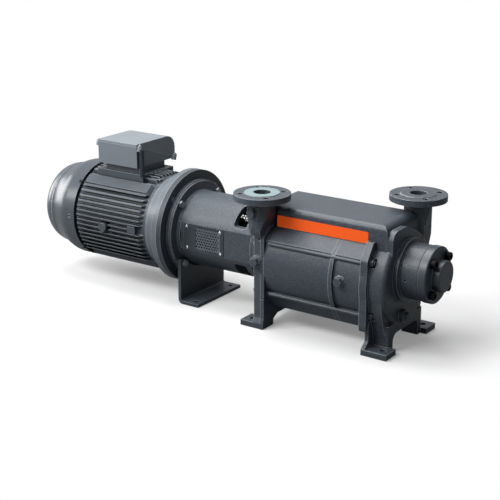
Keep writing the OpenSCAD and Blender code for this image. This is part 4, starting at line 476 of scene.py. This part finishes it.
def mesh_object(name, points, faces):
    """An object from points and faces, with its faces turned outwards."""
    mesh = bpy.data.meshes.new(name)
    mesh.from_pydata(points, [], faces)
    mesh.validate()
    sorted_out = bmesh.new()
    sorted_out.from_mesh(mesh)
    bmesh.ops.recalc_face_normals(sorted_out, faces=sorted_out.faces)
    sorted_out.to_mesh(mesh)
    sorted_out.free()
    return linked(name, mesh)


def plain(source, name):
    """Replaces an object and its modifiers by an object with the finished mesh."""
    bpy.context.view_layer.update()
    mesh = bpy.data.meshes.new_from_object(source.evaluated_get(bpy.context.evaluated_depsgraph_get()))
    bpy.data.objects.remove(source)
    if not len(mesh.polygons):
        raise RuntimeError(name + " came out empty")
    mesh.name = name
    return linked(name, mesh)


def rounded_outline(corners, steps=8):
    """A polygon from (a, b) and (a, b, radius) corners, in metres."""
    out = []
    for i, corner in enumerate(corners):
        here = Vector(corner[:2])
        if len(corner) < 3:
            out.append(here)
            continue
        u = (Vector(corners[i - 1][:2]) - here).normalized()
        v = (Vector(corners[(i + 1) % len(corners)][:2]) - here).normalized()
        half = u.angle(v) / 2
        middle = here + (u + v).normalized() * corner[2] / math.sin(half)
        first = here + u * corner[2] / math.tan(half) - middle
        last = here + v * corner[2] / math.tan(half) - middle
        # slerp gives a direction of length 1
        out += [middle + first.slerp(last, k / steps) * corner[2] for k in range(steps + 1)]
    return out


def drawn_out(name, outline, axis, low, high):
    """A prism along one axis. Its outline runs through the two other axes, in X, Y, Z order."""
    def at(point, depth):
        spot = [point[0], point[1]]
        spot.insert(axis, depth)
        return tuple(spot)
    n = len(outline)
    points = [at(p, low) for p in outline] + [at(p, high) for p in outline]
    sides = [(i, (i + 1) % n, n + (i + 1) % n, n + i) for i in range(n)]
    return mesh_object(name, points, [tuple(range(n)), tuple(range(n, 2 * n))] + sides)


def round_bar(name, centre, radius, axis, low, high, steps=96):
    """A round bar along one axis, with its centre in the two other axes."""
    turns = [2 * math.pi * k / steps for k in range(steps)]
    ring = [Vector((centre[0] + radius * math.cos(t), centre[1] + radius * math.sin(t))) for t in turns]
    return drawn_out(name, ring, axis, low, high)


def carved(base, name, steps):
    """Runs boolean steps, as (kind, tool), on the base and keeps the result as a plain mesh."""
    for kind, tool in steps:
        change = base.modifiers.new(kind, "BOOLEAN")
        change.operation, change.object, change.solver = kind, tool, "EXACT"
    made = plain(base, name)
    for _, tool in steps:
        bpy.data.objects.remove(tool)
    return made


def kept(piece, material, body, *nodes):
    """Gives a piece its finish, its body and the CAD nodes that it stands for."""
    piece.data.materials.clear()
    piece.data.materials.append(material)
    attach(piece, body)
    if nodes:
        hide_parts(*nodes)


# ---------------------------------------------------------------- node trees for what repeats
def new_tree(name, inputs):
    """A geometry nodes tree from points to a finished piece, with its first node. An input is (label, kind)
    or (label, kind, default)."""
    tree = bpy.data.node_groups.new(name, "GeometryNodeTree")
    tree.is_modifier = True
    for label, kind, *default in (("Geometry", "Geometry"), *inputs, ("Finish", "Material")):
        socket = tree.interface.new_socket(name=label, in_out="INPUT", socket_type="NodeSocket" + kind)
        if default:
            socket.default_value = default[0]
    tree.interface.new_socket(name="Geometry", in_out="OUTPUT", socket_type="NodeSocketGeometry")
    return tree, add(tree, "NodeGroupInput")


def instance_tree():
    """Geometry nodes: one piece at every point, turned, made real and finished."""
    tree, start = new_tree("repeated_piece", (("Piece", "Object"), ("Turn", "Vector")))
    piece = add(tree, "GeometryNodeObjectInfo", Object=start.outputs["Piece"])
    spread = add(tree, "GeometryNodeInstanceOnPoints", Points=start.outputs["Geometry"],
                 Instance=piece.outputs["Geometry"], Rotation=start.outputs["Turn"])
    real = add(tree, "GeometryNodeRealizeInstances", i0=spread.outputs[0])
    done = add(tree, "GeometryNodeSetMaterial", i0=real.outputs[0], Material=start.outputs["Finish"])
    add(tree, "NodeGroupOutput", i0=done.outputs[0])
    return tree


def perforated_tree():
    """Geometry nodes: a flat sheet with a round hole at every point, given its thickness and put in place."""
    tree, start = new_tree("perforated_sheet", (
        ("Width", "Float", 0.146), ("Height", "Float", 0.084), ("Corner", "Float", 0.003),
        ("Hole radius", "Float", 0.002), ("Thickness", "Float", 0.002), ("Place", "Vector"), ("Turn", "Vector")))
    sheet = add(tree, "GeometryNodeCurvePrimitiveQuadrilateral", Width=start.outputs["Width"],
                Height=start.outputs["Height"])
    corners = add(tree, "GeometryNodeFilletCurve", i0=sheet.outputs[0], Radius=start.outputs["Corner"])
    hole = add(tree, "GeometryNodeCurvePrimitiveCircle", {"mode": "RADIUS"}, Resolution=10,
               Radius=start.outputs["Hole radius"])
    holes = add(tree, "GeometryNodeInstanceOnPoints", Points=start.outputs["Geometry"], Instance=hole.outputs[0])
    real = add(tree, "GeometryNodeRealizeInstances", i0=holes.outputs[0])
    edges = add(tree, "GeometryNodeJoinGeometry", i0=corners.outputs[0])
    tree.links.new(real.outputs[0], edges.inputs[0])
    flat = add(tree, "GeometryNodeFillCurve", i0=edges.outputs[0])
    thick = add(tree, "GeometryNodeExtrudeMesh", {"mode": "FACES"}, i0=flat.outputs[0],
                Offset_Scale=start.outputs["Thickness"], Individual=False)
    back = add(tree, "GeometryNodeFlipFaces", i0=flat.outputs[0])
    both = add(tree, "GeometryNodeJoinGeometry", i0=thick.outputs[0])
    tree.links.new(back.outputs[0], both.inputs[0])
    sewn = add(tree, "GeometryNodeMergeByDistance", i0=both.outputs[0], Distance=0.01 * MM)
    placed = add(tree, "GeometryNodeTransform", i0=sewn.outputs[0], Translation=start.outputs["Place"],
                 Rotation=start.outputs["Turn"])
    done = add(tree, "GeometryNodeSetMaterial", i0=placed.outputs[0], Material=start.outputs["Finish"])
    add(tree, "NodeGroupOutput", i0=done.outputs[0])
    return tree


def from_points(name, tree, points, values, material):
    """Runs a geometry nodes tree on points and keeps the result as a plain mesh."""
    holder = mesh_object(name + "_maker", points, [])
    maker = holder.modifiers.new("make", "NODES")
    maker.node_group = tree
    sockets = {item.name: item.identifier for item in tree.interface.items_tree
               if item.item_type == "SOCKET" and item.in_out == "INPUT"}
    for key, value in dict(values, Finish=material).items():
        maker[sockets[key]] = value
    return plain(holder, name)


def screw_head(name, rings, steps=48):
    """A turned head along +Z. A ring is (radius, height, kind), with kind round, knurled, hex or cross."""
    def reach(radius, kind, k):
        turn = 360 * k / steps
        if kind == "knurled":
            return radius * (1 if k % 2 else 0.965)
        if kind == "hex":
            return radius / math.cos(math.radians(turn % 60 - 30))
        if kind == "cross":
            return radius if min(turn % 90, 90 - turn % 90) < 14 else radius * 0.38
        return radius
    points, faces = [], []
    for radius, height, kind in rings:
        for k in range(steps):
            far, turn = reach(radius, kind, k), 2 * math.pi * k / steps
            points.append((far * math.cos(turn), far * math.sin(turn), height))
    for j in range(len(rings) - 1):
        for k in range(steps):
            n = (k + 1) % steps
            faces.append((j * steps + k, j * steps + n, (j + 1) * steps + n, (j + 1) * steps + k))
    faces.append(tuple(range(steps)))
    faces.append(tuple(range((len(rings) - 1) * steps, len(rings) * steps)))
    return mesh_object(name, points, faces)


# ---------------------------------------------------------------- pieces of the scene's own
class PUMP_OT_chamber(bpy.types.Operator):
    """Shapes the top chamber with its end carried back behind the inlet neck, clear of both necks."""
    bl_idname = "pump.chamber"
    bl_label = "Top chamber"

    def execute(self, context):
        low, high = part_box("top_chamber")
        deck, top, half = low.z, high.z, high.y
        start, end = low.x - context.scene.pump_paint.chamber_reach, high.x
        long_edge, near_edge, far_edge = 0.016, 0.024, 0.0224     # radii of the upper edges
        # What the chamber fits over: radii of the casings, and where each gives way to the next
        stages, drum, drive_end = 0.1462, 0.1372, 0.1283
        stages_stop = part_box("far_end_casing")[0].x + 0.0222
        drive_end_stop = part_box("stage_casing_1")[0].x - 0.0345
        inlet_neck, outlet_neck = 0.0432, 0.0442
        side = rounded_outline([(-half, deck), (-half, top, long_edge), (half, top, long_edge), (half, deck)])
        ends = rounded_outline([(start, deck), (start, top, near_edge), (end, top, far_edge), (end, deck)])
        before, under, over = start - OVERRUN, deck - OVERRUN, top + OVERRUN
        block = carved(drawn_out("block", side, 0, start, end), "top_chamber_block", [
            ("INTERSECT", drawn_out("ends", ends, 1, -half - OVERRUN, half + OVERRUN)),
            ("DIFFERENCE", round_bar("over_stages", STAGE_AXIS, stages, 0, before, stages_stop)),
            ("DIFFERENCE", round_bar("over_drum", STAGE_AXIS, drum, 0, before, end + OVERRUN)),
            ("DIFFERENCE", round_bar("over_drive_end", SHAFT_AXIS, drive_end, 0, before, drive_end_stop)),
            ("DIFFERENCE", round_bar("past_inlet", (INLET[0], INLET[1]), inlet_neck, 2, under, over)),
            ("DIFFERENCE", round_bar("past_outlet", (-INLET[0], -INLET[1]), outlet_neck, 2, under, over)),
        ])
        kept(block, bpy.data.materials["satin_enamel_on_sand_cast_iron"], STATIC, "top_chamber")
        return {"FINISHED"}


class PUMP_OT_rails(bpy.types.Operator):
    """Rounds the four rails along the stage casings' flanks into bars that catch the light."""
    bl_idname = "pump.rails"
    bl_label = "Flank rails"

    def execute(self, context):
        rail = context.scene.pump_paint.rail
        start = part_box("stage_casing_1")[0].x + 0.011     # clear of the flanges at both ends
        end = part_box("top_chamber")[1].x - 0.054
        upper, lower = (0.1335, 0.2605), (0.1275, 0.1075)     # middles of the rails, as (y, z)
        bar = round_bar("bar", (0.0, 0.0), rail, 0, start, end, 24)
        spots = [(0.0, side * y, z) for side in (-1, 1) for y, z in (upper, lower)]
        cast = bpy.data.materials["satin_enamel_on_sand_cast_iron"]
        rails = from_points("flank_rails", instance_tree(), spots, {"Piece": bar, "Turn": (0.0, 0.0, 0.0)}, cast)
        bpy.data.objects.remove(bar)
        kept(rails, cast, STATIC)
        return {"FINISHED"}


class PUMP_OT_motor_details(bpy.types.Operator):
    """Makes the smooth band round the motor's flange shield and the post at the terminal box's corner."""
    bl_idname = "pump.motor_details"
    bl_label = "Shield band and box post"

    def execute(self, context):
        low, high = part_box("motor_flange_shield")
        axis = (low.y + high.y) / 2, (low.z + high.z) / 2
        inner, outer = 0.1385, 0.1472     # radii of the band
        band_start, band_end = low.x + 0.006, low.x + 0.0455
        bolt = 0.150 * math.sqrt(0.5)     # four bolts at 45 degrees on a circle of 300 mm
        head, head_start = 0.016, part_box("motor_flange_bolts")[0].x - 0.010
        cuts = [("DIFFERENCE", round_bar("inside", axis, inner, 0, low.x - OVERRUN, high.x))]
        for side in (-bolt, bolt):
            for rise in (-bolt, bolt):
                spot = axis[0] + side, axis[1] + rise
                cuts.append(("DIFFERENCE", round_bar("head_room", spot, head, 0, head_start, high.x)))
        band = carved(round_bar("band", axis, outer, 0, band_start, band_end, 144), "shield_band", cuts)
        # The band takes the shield's enamel, painted light as a painted highlight
        kept(band, bpy.data.materials["enamel_with_painted_highlight_on_shield"], STATIC)

        low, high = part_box("terminal_box")
        middle, radius = (high.x - 0.002, low.y + 0.012), 0.008
        foot, top = low.z - 0.004, high.z - 0.006
        # Dark enamel on a cast post, as painted shade: a dark upright against the light box
        dark = painted("enamel_with_painted_shade_on_box_post", "#20252a", "#343b42", 1.0, 0.2, 0.4, 1.0)
        kept(round_bar("terminal_box_post", middle, radius, 2, foot, top, 32), dark, STATIC)
        return {"FINISHED"}


class PUMP_OT_screw_heads(bpy.types.Operator):
    """Makes the knurled cap screws of the end cover and the domed screws of the guards."""
    bl_idname = "pump.screw_heads"
    bl_label = "Screw heads"

    def execute(self, context):
        tree = instance_tree()
        # Black oxide on knurled heads: deep black with little shine, since the knurls scatter it
        black = moulded("black_oxide_steel_head", "#020202", 0.42, grain_mm=0.5, grain=0.1, ior=1.2, edge_mm=0.5,
                        variation=0.0)
        low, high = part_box("cover_screws")
        head_height, circle = 0.012, 0.063     # the screws stand on a circle of this radius
        ring, seat, axis = circle * math.sqrt(0.5), high.x - head_height, (low.z + high.z) / 2
        cap = screw_head("cap_head", [
            (0.0121, -0.0003, "round"), (0.0121, 0.0004, "knurled"), (0.0121, 0.0132, "knurled"),
            (0.0112, 0.0145, "round"), (0.0064, 0.0145, "hex"), (0.0062, 0.0075, "hex")])
        spots = [(seat, y * ring, axis + z * ring) for y in (-1, 1) for z in (-1, 1)]
        heads = from_points("cover_cap_screws", tree, spots, {"Piece": cap, "Turn": (0, math.pi / 2, 0)}, black)
        bpy.data.objects.remove(cap)
        kept(heads, black, STATIC, "cover_screws")

        # Bright zinc plate: the heads shine as small stars at the guards' corners
        zinc = bare_metal("bright_zinc_steel_head", "#dfe3e6", 0.2, grain_mm=0.8, edge_mm=0.3)
        low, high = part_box("guard_screws")
        inset, head_height = 0.005, 0.0025
        dome = screw_head("dome_head", [
            (0.0050, -0.0003, "round"), (0.0052, 0.0004, "round"), (0.0049, 0.0014, "round"),
            (0.0040, 0.0023, "round"), (0.0026, 0.0028, "cross"), (0.0018, 0.0012, "cross")])
        for name, side, seat in (("front_guard_screws", -1, low.y + head_height),
                                 ("back_guard_screws", 1, high.y - head_height)):
            spots = [(x, seat, z) for x in (low.x + inset, high.x - inset) for z in (low.z + inset, high.z - inset)]
            made = from_points(name, tree, spots, {"Piece": dome, "Turn": (-side * math.pi / 2, 0, 0)}, zinc)
            kept(made, zinc, STATIC, "guard_screws")
        bpy.data.objects.remove(dome)
        return {"FINISHED"}


class PUMP_OT_seal_ring(bpy.types.Operator):
    """Makes the rubber ring under the end cover with its lip, which shows as a dark line round the joint."""
    bl_idname = "pump.seal_ring"
    bl_label = "Seal ring"

    def execute(self, context):
        low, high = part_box("cover_seal_ring")
        axis = (0.0, (low.z + high.z) / 2)
        radius, wall, lip = (high.z - low.z) / 2, 0.010, 0.0024
        hole = round_bar("hole", axis, radius - wall, 0, low.x - OVERRUN, high.x + OVERRUN)
        ring = carved(round_bar("ring", axis, radius + lip, 0, low.x - lip, high.x), "cover_seal",
                      [("DIFFERENCE", hole)])
        kept(ring, bpy.data.materials["black_nitrile_rubber"], STATIC, "cover_seal_ring")
        return {"FINISHED"}


class PUMP_OT_guards(bpy.types.Operator):
    """Makes the two guards of finely perforated sheet steel."""
    bl_idname = "pump.guards"
    bl_label = "Guards"

    def execute(self, context):
        tree = perforated_tree()
        # Enamel on perforated sheet: dark, with webs painted light as a painted highlight, which mark out the holes
        steel = painted("enamel_with_painted_highlight_webs_on_perforated_sheet", "#2c3238", "#3f464d", 2.5, 0.1, 0.4, 0.5, mask=painted_highlight_webs)
        low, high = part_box("guard_plates")
        width, height, sheet = high.x - low.x, high.z - low.z, 0.002
        pitch = context.scene.pump_paint.guard_pitch
        row_step, hole = pitch * 0.866, pitch * 0.36     # rows stand as in a triangular pattern
        field_width, field_height, margin = 0.086, 0.070, 0.018
        rows, cols = round(field_height / row_step), round(field_width / pitch)
        holes = []
        for row in range(rows):
            for col in range(cols):
                x = width / 2 - margin - (col + 0.5 * (row % 2)) * pitch
                holes.append((x, (row - (rows - 1) / 2) * row_step, 0))
        # The sheet grows towards -Y, so the front one starts at its inner face
        for name, face in (("front_guard", low.y + sheet), ("back_guard", high.y)):
            values = {"Width": width, "Height": height, "Hole radius": hole, "Thickness": sheet,
                      "Place": ((low.x + high.x) / 2, face, (low.z + high.z) / 2), "Turn": (math.pi / 2, 0, 0)}
            kept(from_points(name, tree, holes, values, steel), steel, STATIC, "guard_plates")
        return {"FINISHED"}


# ---------------------------------------------------------------- stage
def floor_material(colour):
    """White paper. It takes the pump's shadow near by, runs out to plain white, and throws little light up."""
    made, tree, spot = new_material("white_paper_floor")
    rays = add(tree, "ShaderNodeLightPath")
    near, far = 0.35, 1.05     # the shadow fades between these distances from the pump's middle
    centred = add(tree, "ShaderNodeMapping", i0=spot, Location=(0.19, 0, 0), Scale=(0.75, 1.0, 1.0)).outputs[0]
    reach = add(tree, "ShaderNodeVectorMath", {"operation": "LENGTH"}, i0=centred).outputs["Value"]
    fade = add(tree, "ShaderNodeMapRange", {"interpolation_type": "SMOOTHSTEP"}, Value=reach, From_Min=near,
               From_Max=far, To_Min=0.22, To_Max=1.0).outputs[0]
    matt = add(tree, "ShaderNodeBsdfDiffuse", Color=linear(colour)).outputs[0]
    glow = add(tree, "ShaderNodeEmission", Color=WHITE, Strength=1.0).outputs[0]
    seen = add(tree, "ShaderNodeMixShader", i0=fade, i1=matt, i2=glow).outputs[0]
    dim = add(tree, "ShaderNodeBsdfDiffuse", Color=linear("#6c6e70")).outputs[0]
    glossy = add(tree, "ShaderNodeMath", TIMES, i0=rays.outputs["Is Glossy Ray"], i1=GLOSSY_SHARE / 3).outputs[0]
    shown = add(tree, "ShaderNodeMath", {"operation": "ADD", "use_clamp": True}, i0=rays.outputs["Is Camera Ray"],
                i1=glossy).outputs[0]
    shader = add(tree, "ShaderNodeMixShader", i0=shown, i1=dim, i2=seen).outputs[0]
    add(tree, "ShaderNodeOutputMaterial", Surface=shader)
    return made


def studio_world(world):
    """White to the camera and through glass, partly white in reflections, and dim as a light."""
    world.use_nodes = True
    tree = world.node_tree
    tree.nodes.clear()
    rays = add(tree, "ShaderNodeLightPath")
    dim = add(tree, "ShaderNodeBackground", Color=(0.95, 0.97, 1.0, 1), Strength=0.1).outputs[0]
    white = add(tree, "ShaderNodeBackground", Color=WHITE, Strength=1.0).outputs[0]
    plainly = add(tree, "ShaderNodeMath", PLUS, i0=rays.outputs["Is Camera Ray"],
                  i1=rays.outputs["Is Transmission Ray"]).outputs[0]
    glossy = add(tree, "ShaderNodeMath", TIMES, i0=rays.outputs["Is Glossy Ray"], i1=GLOSSY_SHARE).outputs[0]
    shown = add(tree, "ShaderNodeMath", {"operation": "ADD", "use_clamp": True}, i0=plainly, i1=glossy).outputs[0]
    mixed = add(tree, "ShaderNodeMixShader", i0=shown, i1=dim, i2=white).outputs[0]
    add(tree, "ShaderNodeOutputWorld", Surface=mixed)


def softbox(name, place, target, size, power):
    """A white rectangular lamp. Place, target and size are in metres, and power is in watts."""
    data = bpy.data.lights.new(name, "AREA")
    data.shape = "RECTANGLE"
    data.size, data.size_y = size
    data.energy = power
    lamp = linked(name, data)
    lamp.location = place
    lamp.rotation_mode = "QUATERNION"
    lamp.rotation_quaternion = (Vector(target) - Vector(place)).to_track_quat("-Z", "Y")


class PUMP_OT_stage(bpy.types.Operator):
    """Makes the pale floor, the studio lights and the camera."""
    bl_idname = "pump.stage"
    bl_label = "Stage"

    def execute(self, context):
        scene = context.scene
        stage = scene.pump_stage
        reach, gap = 30, 0.5 * MM     # the floor lies a hair under the feet
        mesh = bpy.data.meshes.new("studio_floor")
        corners = [(-reach, -reach, 0), (reach, -reach, 0), (reach, reach, 0), (-reach, reach, 0)]
        mesh.from_pydata(corners, [], [(0, 1, 2, 3)])
        mesh.materials.append(floor_material(stage.floor))
        floor = linked("studio_floor", mesh)
        floor.location.z = -gap

        softbox("top_softbox", (-0.8, 0.2, 2.3), (-0.4, 0.0, 0.2), (1.9, 1.3), 54)
        softbox("front_softbox", (-1.0, -1.8, 2.2), (-0.2, 0, 0.25), (1.8, 0.8), 56)
        softbox("front_left_softbox", (-2.1, -1.6, 1.3), (-1.0, 0, 0.3), (0.7, 0.7), 14)
        softbox("left_softbox", (-3.0, -0.2, 0.7), (-1.1, 0, 0.25), (1.0, 1.2), 22)
        softbox("right_strip", (1.9, 0.3, 1.6), (0.25, 0, 0.25), (0.5, 1.2), 2)

        # Black cloth takes up nearly all light: behind the far end, it keeps reflections off the dark faces
        left, right, top = (0.7, 2.3), (2.3, 1.2), 1.7
        flag = mesh_object("black_flag", [(*left, 0.0), (*right, 0.0), (*right, top), (*left, top)], [(0, 1, 2, 3)])
        flag.data.materials.append(moulded("black_studio_cloth", "#050505", 0.9, variation=0.0))
        flag.visible_camera = flag.visible_shadow = False

        scene.world = bpy.data.worlds.new("studio")
        studio_world(scene.world)

        data = bpy.data.cameras.new("camera")
        data.sensor_width = 36
        data.lens = stage.lens
        data.clip_start, data.clip_end = 0.05, 100
        camera = linked("camera", data)
        around, up = stage.azimuth, stage.elevation
        back = Vector((math.sin(around) * math.cos(up), -math.cos(around) * math.cos(up), math.sin(up)))
        camera.rotation_mode = "QUATERNION"
        camera.rotation_quaternion = (-back).to_track_quat("-Z", "Y")
        camera.location = stage.place
        scene.camera = camera
        scene.view_settings.view_transform = "Standard"
        return {"FINISHED"}


class PUMP_PT_panel(bpy.types.Panel):
    """Lists the pump's finishes."""
    bl_label = "Pump finishes"
    bl_space_type = "VIEW_3D"
    bl_region_type = "UI"
    bl_category = "Pump"

    def draw(self, context):
        column = self.layout.column()
        for group in (context.scene.pump_paint, context.scene.pump_stage):
            for key in group.bl_rna.properties.keys():
                if key not in ("rna_type", "name"):
                    column.prop(group, key)
        for step in STEPS:
            column.operator(step.bl_idname)


STEPS = (PUMP_OT_castings, PUMP_OT_motor, PUMP_OT_sheet, PUMP_OT_fasteners, PUMP_OT_inside, PUMP_OT_strip,
         PUMP_OT_chamber, PUMP_OT_rails, PUMP_OT_motor_details, PUMP_OT_screw_heads, PUMP_OT_seal_ring,
         PUMP_OT_guards, PUMP_OT_stage)
CLASSES = (PumpPaint, PumpStage, *STEPS, PUMP_PT_panel)


def register():
    for cls in CLASSES:
        bpy.utils.register_class(cls)
    bpy.types.Scene.pump_paint = bpy.props.PointerProperty(type=PumpPaint)
    bpy.types.Scene.pump_stage = bpy.props.PointerProperty(type=PumpStage)


def unregister():
    del bpy.types.Scene.pump_stage
    del bpy.types.Scene.pump_paint
    for cls in reversed(CLASSES):
        bpy.utils.unregister_class(cls)


def main():
    register()
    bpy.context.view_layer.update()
    for step in STEPS:
        area, name = step.bl_idname.split(".")
        getattr(getattr(bpy.ops, area), name)()


if __name__ == "__main__":
    main()
